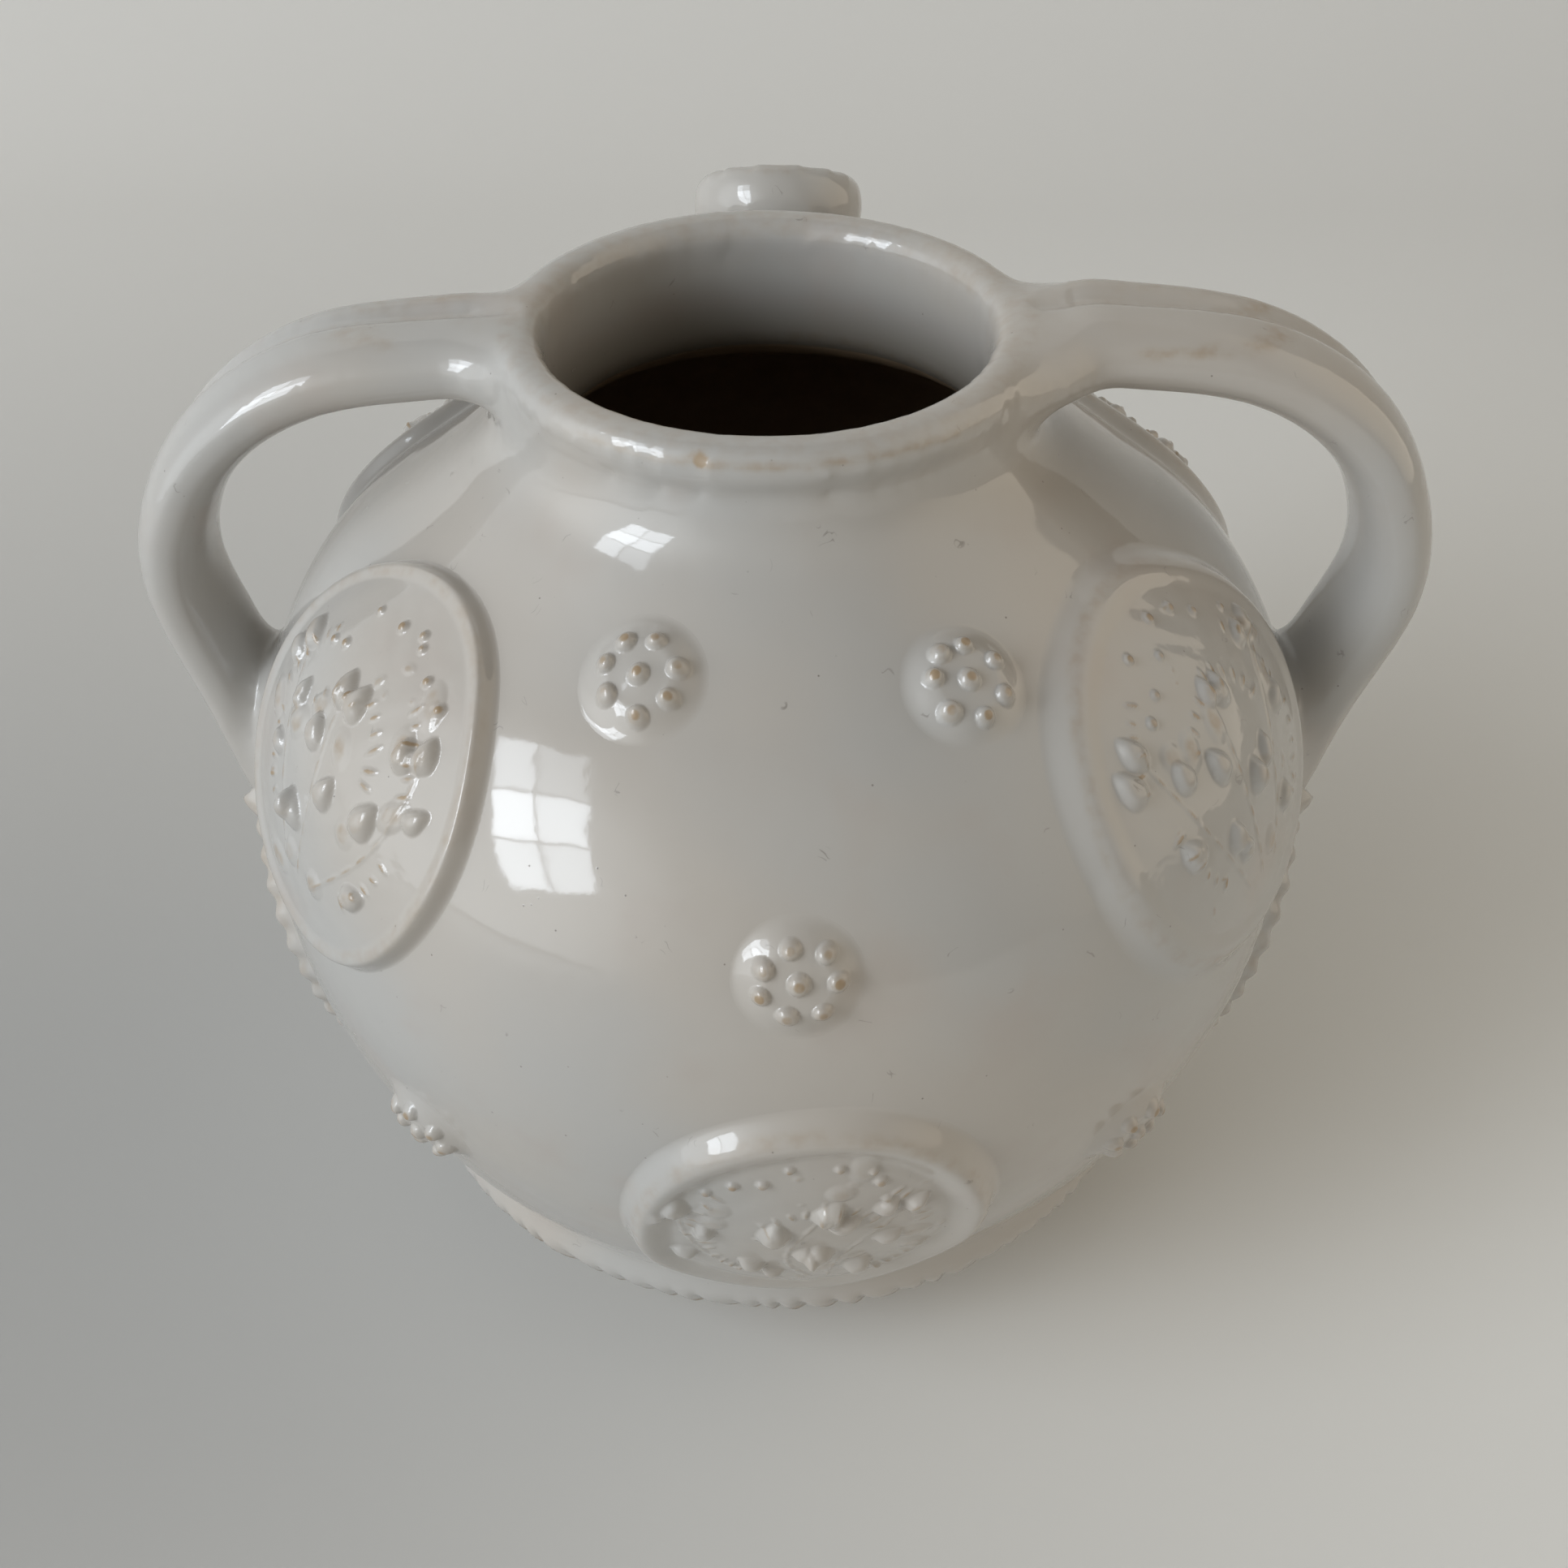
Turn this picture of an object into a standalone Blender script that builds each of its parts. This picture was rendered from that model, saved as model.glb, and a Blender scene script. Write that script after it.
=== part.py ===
# Two-handled globular faience pitcher: a thrown globe with a short neck and a rolled lip,
# a small spout on the back shoulder, two pulled strap handles, applied oval medallions,
# bead clusters and a crimped girdle, standing on a flat foot.
# Metres, +Z up, the origin on the table under the middle of the foot. The front faces -Y.

import math

import bmesh
import bpy
import numpy as np
from mathutils import Matrix, Vector

MM = 0.001

# Thrown globe. Heights of the globe are measured from its widest circle.
GLOBE_RADIUS = 100.0 * MM
EQUATOR_HEIGHT = 97.0 * MM
SHOULDER_RISE = 77.4 * MM
BELLY_DROP = 115.8 * MM
SHOULDER_FULLNESS = 2.40
BELLY_FULLNESS = 1.77
WALL = 4.6 * MM
FLOOR = 6.0 * MM
FLOOR_CORNER = 2.0 * MM

# Neck and rolled lip
NECK_RADIUS = 43.2 * MM
MOUTH_RADIUS = 38.8 * MM
NECK_TOP = 90.4 * MM
NECK_FILLET = 9.0 * MM
FILLET_LOW_PULL = 0.6
FILLET_HIGH_PULL = 0.5
NECK_BORE_DEPTH = 16.9 * MM
THROAT_SPREAD = 7.0 * MM
LIP_HALF_WIDTH = 3.9 * MM
LIP_HEIGHT = 7.6 * MM
LIP_SEAT_ANGLE = math.radians(45.0)

# Foot
FOOT_RADIUS = 51.0 * MM
FOOT_HEIGHT = 6.0 * MM
FOOT_SPREAD = 1.6 * MM
FOOT_EDGE = 1.2 * MM

# Spout on the back shoulder
SPOUT_SEAT_RISE = 62.5 * MM
SPOUT_LENGTH = 18.5 * MM
SPOUT_RADIUS = 13.6 * MM
SPOUT_FLARE = 5.0 * MM
SPOUT_SINK = 11.0 * MM
SPOUT_BORE_RADIUS = 9.4 * MM
SPOUT_BORE_REACH = 28.0 * MM
SPOUT_LIP_OVERHANG = 3.8 * MM
SPOUT_LIP_HEIGHT = 11.0 * MM
SPOUT_LIP_SEAT_ANGLE = math.radians(38.0)

# Handles: a broad roll with a groove towards the back and a narrower ridge behind it.
# Each arch is a quarter of a superellipse from its start out to its reach.
STRAP_HALF_WIDTH = 13.2 * MM
STRAP_SQUARENESS = 2.3
STRAP_SHIFT = 2.5 * MM
STRAP_HALF_DEPTH_LEFT = 6.4 * MM
STRAP_HALF_DEPTH_RIGHT = 6.9 * MM
HANDLE_REACH_LEFT = 111.6 * MM
HANDLE_REACH_RIGHT = 113.6 * MM
HANDLE_TOP_LEFT = 90.2 * MM
HANDLE_TOP_RIGHT = 92.6 * MM
HANDLE_SQUARENESS_LEFT = 2.15
HANDLE_SQUARENESS_RIGHT = 2.3
ARCH_START = 57.0 * MM
ARCH_KNOTS = 5
HANDLE_BEND_RISE = 45.0 * MM
LOWER_BEND_RISE = 19.0 * MM
LOWER_BEND_STANDOFF = 4.8 * MM
TAIL_STANDOFF = 1.2 * MM
TAIL_DROP = 10.5 * MM
TAIL_HALF_WIDTH = 9.0 * MM
TAIL_HALF_DEPTH = 3.6 * MM
ROOT_HALF_WIDTH_LEFT = 19.0 * MM
ROOT_HALF_WIDTH_RIGHT = 21.5 * MM
ROOT_SHIFT_LEFT = 0.0 * MM
ROOT_SHIFT_RIGHT = -0.5 * MM
ROOT_SINK = 4.0 * MM
ROOT_DROP = 1.6 * MM
# Near the lip the strap stays low enough to meet the roll below its crest
ROOT_LIFT = 0.2 * MM
GROOVE_DEPTH = 2.0 * MM
GROOVE_WIDTH = 2.5 * MM
# The groove runs outwards across the strap, and is shallower towards the tail
GROOVE_OFFSET_AT_ROOT = 1.6 * MM
GROOVE_OFFSET_AT_BEND = 6.8 * MM
GROOVE_SHARE_AT_ROOT = 0.7
GROOVE_SHARE_AT_BEND = 0.4
GROOVE_SHARE_AT_TAIL = 0.1

# Crimped girdle
GIRDLE_DROP = 69.0 * MM
GIRDLE_REACH = 4.9 * MM
GIRDLE_SEAT = 8.5 * MM
GIRDLE_SHOULDER = 3.0 * MM
GIRDLE_NOSE = 0.7 * MM
GIRDLE_EDGE = 0.4 * MM
CRIMP_COUNT = 88
CRIMP_DEPTH = 1.2 * MM

# Oval medallions, each with its azimuth in degrees, rise, half width, half height and rim width.
# Azimuth 0 is the front and +90 the right-hand handle.
MEDALLIONS = {
    "front_left": (-55.5, 41.5 * MM, 35.0 * MM, 37.0 * MM, 6.5 * MM),
    "front_right": (57.0, 41.0 * MM, 37.5 * MM, 38.5 * MM, 8.0 * MM),
    "back_left": (-131.0, 41.5 * MM, 35.0 * MM, 37.0 * MM, 6.5 * MM),
    "back_right": (128.0, 41.5 * MM, 35.0 * MM, 37.0 * MM, 6.5 * MM),
    "low_front": (3.5, -28.0 * MM, 32.5 * MM, 36.0 * MM, 8.5 * MM),
    "low_back": (180.0, -28.0 * MM, 32.5 * MM, 36.0 * MM, 8.5 * MM),
    "low_left": (-87.0, -31.5 * MM, 33.5 * MM, 35.0 * MM, 7.5 * MM),
    "low_right": (87.0, -31.5 * MM, 33.5 * MM, 35.0 * MM, 7.5 * MM),
}
MEDALLION_RIM_HEIGHT = 3.2 * MM
MEDALLION_FIELD_HEIGHT = 1.9 * MM
MEDALLION_CROWN = 0.8 * MM
MEDALLION_EDGE = 0.8 * MM
MEDALLION_INNER_SHARE = 0.4
RIM_ROLL_ANGLE = 0.8 * math.pi

# Bead clusters, each with its azimuth in degrees, rise, and the turn of its ring of beads
CLUSTERS = {
    "front_left": (-19.0, 64.6 * MM, 15.0),
    "front_right": (26.0, 63.2 * MM, 24.0),
    "front_middle": (2.0, 32.6 * MM, -10.0),
    "low_front_left": (-41.4, -25.8 * MM, 0.0),
    "low_front_right": (41.4, -25.8 * MM, 20.0),
    "back_left": (-155.0, 65.0 * MM, 5.0),
    "back_right": (155.0, 65.0 * MM, 30.0),
    "back_middle": (180.0, 24.0 * MM, 0.0),
    "low_back_left": (-138.0, -25.8 * MM, 12.0),
    "low_back_right": (138.0, -25.8 * MM, 40.0),
}
CLUSTER_RADIUS = 8.8 * MM
CLUSTER_DOME = 2.0 * MM
CLUSTER_EDGE = 0.6 * MM
BEAD_RING_RADIUS = 5.8 * MM
BEAD_RADIUS = 2.0 * MM
BEAD_HEIGHT = 1.5 * MM
BEAD_SHOULDER = 0.7
BEADS_IN_RING = 7

# Clearance between pieces that touch, and how finely round forms are divided
SEAT_GAP = 0.3 * MM
APPLIED_GAP = 0.4 * MM
ROUND_SEGMENTS = 48
BELLY_POINT_COUNT = 8
SHOULDER_POINT_COUNT = 7
INNER_BELLY_POINT_COUNT = 7
INNER_SHOULDER_POINT_COUNT = 5
FILLET_POINT_COUNT = 4
LIP_POINT_COUNT = 10
SPOUT_SEGMENTS = 24
SPOUT_FLARE_POINT_COUNT = 4
SPOUT_LIP_POINT_COUNT = 9
STRAP_POINT_COUNT = 18
MEDALLION_SEGMENTS = 20
MEDALLION_BASE_RING_COUNT = 3
MEDALLION_RIM_RING_COUNT = 4
CLUSTER_SEGMENTS = 14
BEAD_SIDE_COUNT = 6
SPAN_STEP_COUNT = 2
MERIDIAN_STEP_COUNT = 1200
MERIDIAN_SHARE = 0.985

GLAZE = (0.76, 0.75, 0.72)
GLAZE_SHADE = (0.70, 0.69, 0.66)
BARE_CLAY = (0.62, 0.50, 0.38)


def clear_scene():
    for old in list(bpy.data.objects):
        bpy.data.objects.remove(old, do_unlink=True)


def material(name, colour, roughness):
    mat = bpy.data.materials.new(name)
    mat.use_nodes = True
    shader = mat.node_tree.nodes["Principled BSDF"]
    shader.inputs["Base Color"].default_value = (*colour, 1.0)
    shader.inputs["Roughness"].default_value = roughness
    shader.inputs["Metallic"].default_value = 0.0
    return mat


def finish(name, bm, colour=GLAZE, roughness=0.12, cutter=False):
    bmesh.ops.remove_doubles(bm, verts=bm.verts[:], dist=1e-6)
    bmesh.ops.recalc_face_normals(bm, faces=bm.faces[:])
    mesh = bpy.data.meshes.new(name)
    bm.to_mesh(mesh)
    bm.free()
    mesh.shade_smooth()
    mesh.set_sharp_from_angle(angle=math.radians(40.0))
    obj = bpy.data.objects.new(name, mesh)
    bpy.context.collection.objects.link(obj)
    if cutter:
        obj.hide_render = True
        obj.display_type = "WIRE"
    else:
        mesh.materials.append(material(name + "_finish", colour, roughness))
    return obj


def cut(obj, cutter):
    boolean = obj.modifiers.new("cut_by_" + cutter.name, "BOOLEAN")
    boolean.operation = "DIFFERENCE"
    boolean.solver = "EXACT"
    boolean.object = cutter


# Globe profile: a superellipse above the widest circle and another below it

def half_shape(rise):
    if rise >= 0.0:
        return SHOULDER_RISE, SHOULDER_FULLNESS
    return BELLY_DROP, BELLY_FULLNESS


def globe_radius_at(rise):
    height, power = half_shape(rise)
    return GLOBE_RADIUS * (1.0 - min(abs(rise) / height, 1.0) ** power) ** (1.0 / power)


def globe_normal_at(rise):
    # Outward direction in the plane of radius and height
    height, power = half_shape(rise)
    radius = globe_radius_at(rise)
    out = (radius / GLOBE_RADIUS) ** (power - 1.0) / GLOBE_RADIUS
    up = math.copysign((abs(rise) / height) ** (power - 1.0) / height, rise)
    length = math.hypot(out, up)
    return out / length, up / length


def rise_for_radius(radius, above=True):
    height, power = half_shape(1.0 if above else -1.0)
    rise = height * (1.0 - (radius / GLOBE_RADIUS) ** power) ** (1.0 / power)
    return rise if above else -rise


def globe_offset_point(rise, offset):
    out, up = globe_normal_at(rise)
    return globe_radius_at(rise) + offset * out, rise + offset * up


def meridian_table():
    # Stops short of the poles, where the slope runs away
    rises = np.linspace(-MERIDIAN_SHARE * BELLY_DROP, MERIDIAN_SHARE * SHOULDER_RISE, MERIDIAN_STEP_COUNT)
    radii = np.array([globe_radius_at(rise) for rise in rises])
    steps = np.hypot(np.diff(rises), np.diff(radii))
    return np.concatenate([[0.0], np.cumsum(steps)]), rises


MERIDIAN_LENGTHS, MERIDIAN_RISES = meridian_table()


def on_globe(azimuth, rise, across, along, offset):
    # A point found by going along and across the surface from a centre, then out by the offset
    start = np.interp(rise, MERIDIAN_RISES, MERIDIAN_LENGTHS)
    here = float(np.interp(start + along, MERIDIAN_LENGTHS, MERIDIAN_RISES))
    mean_radius = 0.5 * (globe_radius_at(rise) + globe_radius_at(here))
    turn = math.radians(azimuth) + across / mean_radius
    radius, height = globe_offset_point(here, offset)
    return Vector((radius * math.sin(turn), -radius * math.cos(turn), EQUATOR_HEIGHT + height))


def spread(start, end, count):
    return [start + (end - start) * i / (count - 1) for i in range(count)]


def superellipse_rises(low, high, count):
    # Even steps of the shape's own angle, so that points gather where the profile turns
    def angle(rise):
        height, power = half_shape(rise)
        return math.copysign(math.asin(min((abs(rise) / height) ** (power / 2.0), 1.0)), rise)

    rises = []
    for turn in spread(angle(low), angle(high), count):
        height, power = half_shape(turn)
        rises.append(math.copysign(height * math.sin(abs(turn)) ** (2.0 / power), turn))
    return rises


def neck_fillet(offset, count):
    # Concave sweep from the shoulder up into the upright neck, bottom to top
    foot_rise = rise_for_radius(NECK_RADIUS + NECK_FILLET)
    r0, z0 = globe_offset_point(foot_rise, offset)
    out, up = globe_normal_at(foot_rise)
    along = Vector((-up, out))
    p0 = Vector((r0, z0))
    p3 = Vector((NECK_RADIUS + offset, z0 + NECK_FILLET))
    p1 = p0 + along * NECK_FILLET * FILLET_LOW_PULL
    p2 = p3 - Vector((0.0, NECK_FILLET * FILLET_HIGH_PULL))
    points = []
    for t in spread(0.0, 1.0, count):
        s = 1.0 - t
        point = p0 * s ** 3 + p1 * 3 * s * s * t + p2 * 3 * s * t * t + p3 * t ** 3
        points.append((point.x, point.y))
    return points


def globe_low():
    return FOOT_HEIGHT + SEAT_GAP - EQUATOR_HEIGHT


def globe_outline(offset):
    shoulder_end = rise_for_radius(NECK_RADIUS + NECK_FILLET)
    rises = superellipse_rises(globe_low(), 0.0, BELLY_POINT_COUNT)
    rises += superellipse_rises(0.0, shoulder_end, SHOULDER_POINT_COUNT)[1:-1]
    points = [globe_offset_point(rise, offset) for rise in rises]
    return points + neck_fillet(offset, FILLET_POINT_COUNT)


def turned(name, profile, segments, closed, **look):
    # Profile points are (radius, height); a closed profile is a ring's section
    bm = bmesh.new()
    verts = [bm.verts.new((radius, 0.0, height)) for radius, height in profile]
    pairs = list(zip(verts, verts[1:]))
    if closed:
        pairs.append((verts[-1], verts[0]))
    edges = [bm.edges.new(pair) for pair in pairs]
    bmesh.ops.spin(bm, geom=verts + edges, cent=(0, 0, 0), axis=(0, 0, 1),
                   angle=2.0 * math.pi, steps=segments, use_merge=True)
    return finish(name, bm, **look)


def raised(profile):
    return [(radius, EQUATOR_HEIGHT + rise) for radius, rise in profile]


# Turned pieces

def build_globe():
    floor_rise = globe_low() + FLOOR
    throat = rise_for_radius(MOUTH_RADIUS + THROAT_SPREAD)
    rises = superellipse_rises(globe_low(), 0.0, INNER_BELLY_POINT_COUNT)
    rises += superellipse_rises(0.0, throat, INNER_SHOULDER_POINT_COUNT)[1:]
    inner = [globe_offset_point(rise, -WALL) for rise in reversed(rises)]
    inner = [point for point in inner if point[1] > floor_rise]
    profile = [(0.0, globe_low())] + globe_outline(0.0)
    profile += [(NECK_RADIUS, NECK_TOP), (MOUTH_RADIUS, NECK_TOP)]
    profile += [(MOUTH_RADIUS, NECK_TOP - NECK_BORE_DEPTH)] + inner
    profile += [(inner[-1][0] - FLOOR_CORNER, floor_rise), (0.0, floor_rise)]
    return turned("body_globe", raised(profile), ROUND_SEGMENTS, False)


def lip_profile(offset):
    # A roll with a flat underside, from its outer seat up over the crest and down inside
    half_height = 0.5 * LIP_HEIGHT
    middle = MOUTH_RADIUS + LIP_HALF_WIDTH
    centre = NECK_TOP + SEAT_GAP + half_height * math.sin(LIP_SEAT_ANGLE)
    points = []
    for turn in spread(-LIP_SEAT_ANGLE, math.pi + LIP_SEAT_ANGLE, LIP_POINT_COUNT):
        radius = middle + (LIP_HALF_WIDTH + offset) * math.cos(turn)
        height = centre + (half_height + offset) * math.sin(turn)
        points.append((radius, height))
    return points


def build_lip():
    return turned("mouth_lip", raised(lip_profile(0.0)), ROUND_SEGMENTS, True)


def build_foot():
    top = FOOT_RADIUS - FOOT_SPREAD
    profile = [
        (0.0, 0.0),
        (FOOT_RADIUS - FOOT_EDGE, 0.0),
        (FOOT_RADIUS, FOOT_EDGE),
        (top, FOOT_HEIGHT - FOOT_EDGE),
        (top, FOOT_HEIGHT),
        (0.0, FOOT_HEIGHT),
    ]
    return turned("foot", profile, ROUND_SEGMENTS, False, colour=BARE_CLAY, roughness=0.8)


def vessel_clearance():
    # Everything inside the outer faces of globe, neck and lip, grown by the gap
    outer = globe_outline(SEAT_GAP)
    lip = lip_profile(SEAT_GAP)
    crest = max(height for radius, height in lip)
    over_the_top = [point for point in lip if point[0] >= MOUTH_RADIUS + LIP_HALF_WIDTH]
    profile = [(0.0, outer[0][1])] + outer + [(NECK_RADIUS + SEAT_GAP, lip[0][1])]
    profile += over_the_top + [(0.0, crest)]
    return turned("vessel_clearance", raised(profile), ROUND_SEGMENTS, False, cutter=True)


# Spout

def spout_frame():
    # Stands square to the back shoulder
    out, up = globe_normal_at(SPOUT_SEAT_RISE)
    seat = Vector((0.0, globe_radius_at(SPOUT_SEAT_RISE), EQUATOR_HEIGHT + SPOUT_SEAT_RISE))
    axis = Vector((0.0, out, up))
    side = Vector((1.0, 0.0, 0.0))
    turn = Matrix((side, axis.cross(side), axis)).transposed().to_4x4()
    return Matrix.Translation(seat) @ turn


def place(obj, frame):
    obj.data.transform(frame)
    return obj


def build_spout(clearance):
    # Returns the cutter for the bore through the globe's wall
    frame = spout_frame()
    foot_radius = SPOUT_RADIUS + SPOUT_FLARE
    tube = [(SPOUT_BORE_RADIUS, -SPOUT_SINK), (foot_radius, -SPOUT_SINK)]
    for turn in spread(0.0, 0.5 * math.pi, SPOUT_FLARE_POINT_COUNT):
        tube.append((foot_radius - SPOUT_FLARE * math.sin(turn), SPOUT_FLARE * (1.0 - math.cos(turn))))
    tube += [(SPOUT_RADIUS, SPOUT_LENGTH), (SPOUT_BORE_RADIUS, SPOUT_LENGTH)]
    body = place(turned("spout_tube", tube, SPOUT_SEGMENTS, True), frame)
    cut(body, clearance)

    outer = SPOUT_RADIUS + SPOUT_LIP_OVERHANG
    half_width = 0.5 * (outer - SPOUT_BORE_RADIUS)
    half_height = SPOUT_LIP_HEIGHT / (1.0 + math.sin(SPOUT_LIP_SEAT_ANGLE))
    middle = SPOUT_LENGTH + SEAT_GAP + half_height * math.sin(SPOUT_LIP_SEAT_ANGLE)
    roll = []
    for turn in spread(-SPOUT_LIP_SEAT_ANGLE, math.pi + SPOUT_LIP_SEAT_ANGLE, SPOUT_LIP_POINT_COUNT):
        roll.append((SPOUT_BORE_RADIUS + half_width * (1.0 + math.cos(turn)),
                     middle + half_height * math.sin(turn)))
    place(turned("spout_lip", roll, SPOUT_SEGMENTS, True), frame)

    bore = [(0.0, -SPOUT_BORE_REACH), (SPOUT_BORE_RADIUS, -SPOUT_BORE_REACH),
            (SPOUT_BORE_RADIUS, SPOUT_LENGTH), (0.0, SPOUT_LENGTH)]
    return place(turned("spout_bore", bore, SPOUT_SEGMENTS, False, cutter=True), frame)


# Handles

def handle_knots(reach, top, half_depth, squareness, root_half_width, root_shift):
    # Rows from lip to tail: distance out, rise, half width, half depth, shift back,
    # share of the groove's depth, and the groove's place across
    wide = STRAP_HALF_WIDTH
    near, far = GROOVE_OFFSET_AT_ROOT, GROOVE_OFFSET_AT_BEND
    rows = [
        (NECK_RADIUS - ROOT_SINK, NECK_TOP - ROOT_DROP, root_half_width, half_depth, root_shift, 0.0, near),
        (0.5 * (NECK_RADIUS + ARCH_START), min(top, NECK_TOP + ROOT_LIFT), 0.5 * (root_half_width + wide),
         half_depth, 0.5 * (root_shift + STRAP_SHIFT), GROOVE_SHARE_AT_ROOT, near),
    ]
    for step in range(ARCH_KNOTS):
        share = step / (ARCH_KNOTS - 1)
        turn = 0.5 * math.pi * share
        out = ARCH_START + (reach - ARCH_START) * math.sin(turn) ** (2.0 / squareness)
        rise = HANDLE_BEND_RISE + (top - HANDLE_BEND_RISE) * max(math.cos(turn), 0.0) ** (2.0 / squareness)
        rows.append((out, rise, wide, half_depth, STRAP_SHIFT, 1.0 + (GROOVE_SHARE_AT_BEND - 1.0) * share,
                     near + (far - near) * share))
    rows += [
        (GLOBE_RADIUS + LOWER_BEND_STANDOFF, LOWER_BEND_RISE, wide, half_depth, STRAP_SHIFT,
         GROOVE_SHARE_AT_TAIL, far),
        (GLOBE_RADIUS + TAIL_STANDOFF, 0.0, 0.5 * (wide + TAIL_HALF_WIDTH),
         0.5 * (half_depth + TAIL_HALF_DEPTH), 0.0, 0.0, far),
        (GLOBE_RADIUS - TAIL_STANDOFF, -TAIL_DROP, TAIL_HALF_WIDTH, TAIL_HALF_DEPTH, 0.0, 0.0, far),
    ]
    return rows


def through_knots(knots, steps):
    # Catmull-Rom curve through all columns of the knots at once
    table = np.array(knots)
    padded = np.vstack([2 * table[0] - table[1], table, 2 * table[-1] - table[-2]])
    rows = []
    for i in range(1, len(padded) - 2):
        a, b, c, d = padded[i - 1:i + 3]
        for step in range(steps):
            t = step / steps
            rows.append(0.5 * (2 * b + (c - a) * t + (2 * a - 5 * b + 4 * c - d) * t * t
                               + (3 * b - a - 3 * c + d) * t ** 3))
    rows.append(table[-1])
    return np.array(rows)


def strap_section(half_width, half_depth, groove, groove_offset, grow):
    # (across, outward) points of the strap, with the groove on its outer face towards the back
    points = []
    for i in range(STRAP_POINT_COUNT):
        turn = 2.0 * math.pi * i / STRAP_POINT_COUNT
        c, s = math.cos(turn), math.sin(turn)
        across = (half_width + grow) * math.copysign(abs(c) ** (2.0 / STRAP_SQUARENESS), c)
        outward = (half_depth + grow) * math.copysign(abs(s) ** (2.0 / STRAP_SQUARENESS), s)
        if s > 0.0:
            outward -= groove * GROOVE_DEPTH * math.exp(-((across - groove_offset) / GROOVE_WIDTH) ** 2)
        points.append((across, outward))
    return points


def strap(name, side, knots, grow=0.0, **look):
    bm = bmesh.new()
    path = through_knots(knots, SPAN_STEP_COUNT)
    tangents = np.gradient(path[:, :2], axis=0)
    rings = []
    for (out, rise, half_width, half_depth, shift, groove, offset), (dx, dz) in zip(path, tangents):
        length = math.hypot(dx, dz)
        normal = Vector((-dz / length, 0.0, dx / length))
        centre = Vector((out, shift, EQUATOR_HEIGHT + rise))
        ring = []
        for across, outward in strap_section(half_width, half_depth, groove, offset, grow):
            point = centre + normal * outward + Vector((0.0, across, 0.0))
            ring.append(bm.verts.new((side * point.x, point.y, point.z)))
        rings.append(ring)
    for near, far in zip(rings, rings[1:]):
        for i in range(STRAP_POINT_COUNT):
            j = (i + 1) % STRAP_POINT_COUNT
            bm.faces.new((near[i], near[j], far[j], far[i]))
    bm.faces.new(rings[0])
    bm.faces.new(rings[-1][::-1])
    return finish(name, bm, **look)


def build_handle(side_name, side, knots, clearance):
    # Returns the room that the handle's tail needs in the medallion under it
    cut(strap("handle_" + side_name, side, knots), clearance)
    return strap("tail_room_" + side_name, side, knots, grow=SEAT_GAP, cutter=True)


# Crimped girdle

def build_girdle():
    bm = bmesh.new()
    upper, lower = -GIRDLE_DROP + 0.5 * GIRDLE_SEAT, -GIRDLE_DROP - 0.5 * GIRDLE_SEAT
    rings = []
    steps = 2 * CRIMP_COUNT
    for step in range(steps):
        turn = 2.0 * math.pi * step / steps
        crimp = CRIMP_DEPTH * (0.5 if step % 2 else -0.5)
        section = [
            globe_offset_point(upper, APPLIED_GAP),
            globe_offset_point(lower + GIRDLE_SHOULDER, GIRDLE_REACH + 0.5 * crimp),
            globe_offset_point(lower + GIRDLE_NOSE, GIRDLE_REACH - GIRDLE_EDGE + crimp),
            globe_offset_point(lower, APPLIED_GAP),
        ]
        rings.append([bm.verts.new((radius * math.sin(turn), -radius * math.cos(turn),
                                    EQUATOR_HEIGHT + rise)) for radius, rise in section])
    for index, near in enumerate(rings):
        far = rings[(index + 1) % steps]
        for i in range(len(near)):
            j = (i + 1) % len(near)
            bm.faces.new((near[i], near[j], far[j], far[i]))
    return finish("girdle_band", bm)


# Applied sprigs: medallions and bead clusters

def applied_shell(bm, place_point, segments, rings):
    # A closed shell from its underside to its top; each ring is (share of the outline, height)
    loops = []
    for share, height in rings:
        loops.append([bm.verts.new(place_point(share, 2.0 * math.pi * step / segments, height))
                      for step in range(segments)])
    for near, far in zip(loops, loops[1:]):
        for i in range(segments):
            j = (i + 1) % segments
            bm.faces.new((near[i], near[j], far[j], far[i]))
    for loop, height in ((loops[0], rings[0][1]), (loops[-1], rings[-1][1])):
        tip = bm.verts.new(place_point(0.0, 0.0, height))
        for i, vert in enumerate(loop):
            bm.faces.new((vert, loop[(i + 1) % segments], tip))


def build_medallion(name, azimuth, rise, half_width, half_height, rim_width):
    def place_point(share, turn, height):
        return on_globe(azimuth, rise, share * half_width * math.sin(turn),
                        share * half_height * math.cos(turn), APPLIED_GAP + height)

    rim = rim_width / half_width
    rings = [(share, 0.0) for share in spread(MEDALLION_INNER_SHARE, 1.0, MEDALLION_BASE_RING_COUNT)]
    for turn in spread(0.0, RIM_ROLL_ANGLE, MEDALLION_RIM_RING_COUNT):
        rings.append((1.0 - 0.5 * rim * (1.0 - math.cos(turn)),
                      MEDALLION_EDGE + (MEDALLION_RIM_HEIGHT - MEDALLION_EDGE) * math.sin(turn)))
    rings.append((1.0 - rim, MEDALLION_FIELD_HEIGHT))
    rings.append((0.5 * (1.0 - rim), MEDALLION_FIELD_HEIGHT + MEDALLION_CROWN))
    bm = bmesh.new()
    applied_shell(bm, place_point, MEDALLION_SEGMENTS, rings)
    return finish("medallion_" + name, bm, colour=GLAZE_SHADE)


def dome(radius):
    return CLUSTER_EDGE + CLUSTER_DOME * (1.0 - (radius / CLUSTER_RADIUS) ** 2)


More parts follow.
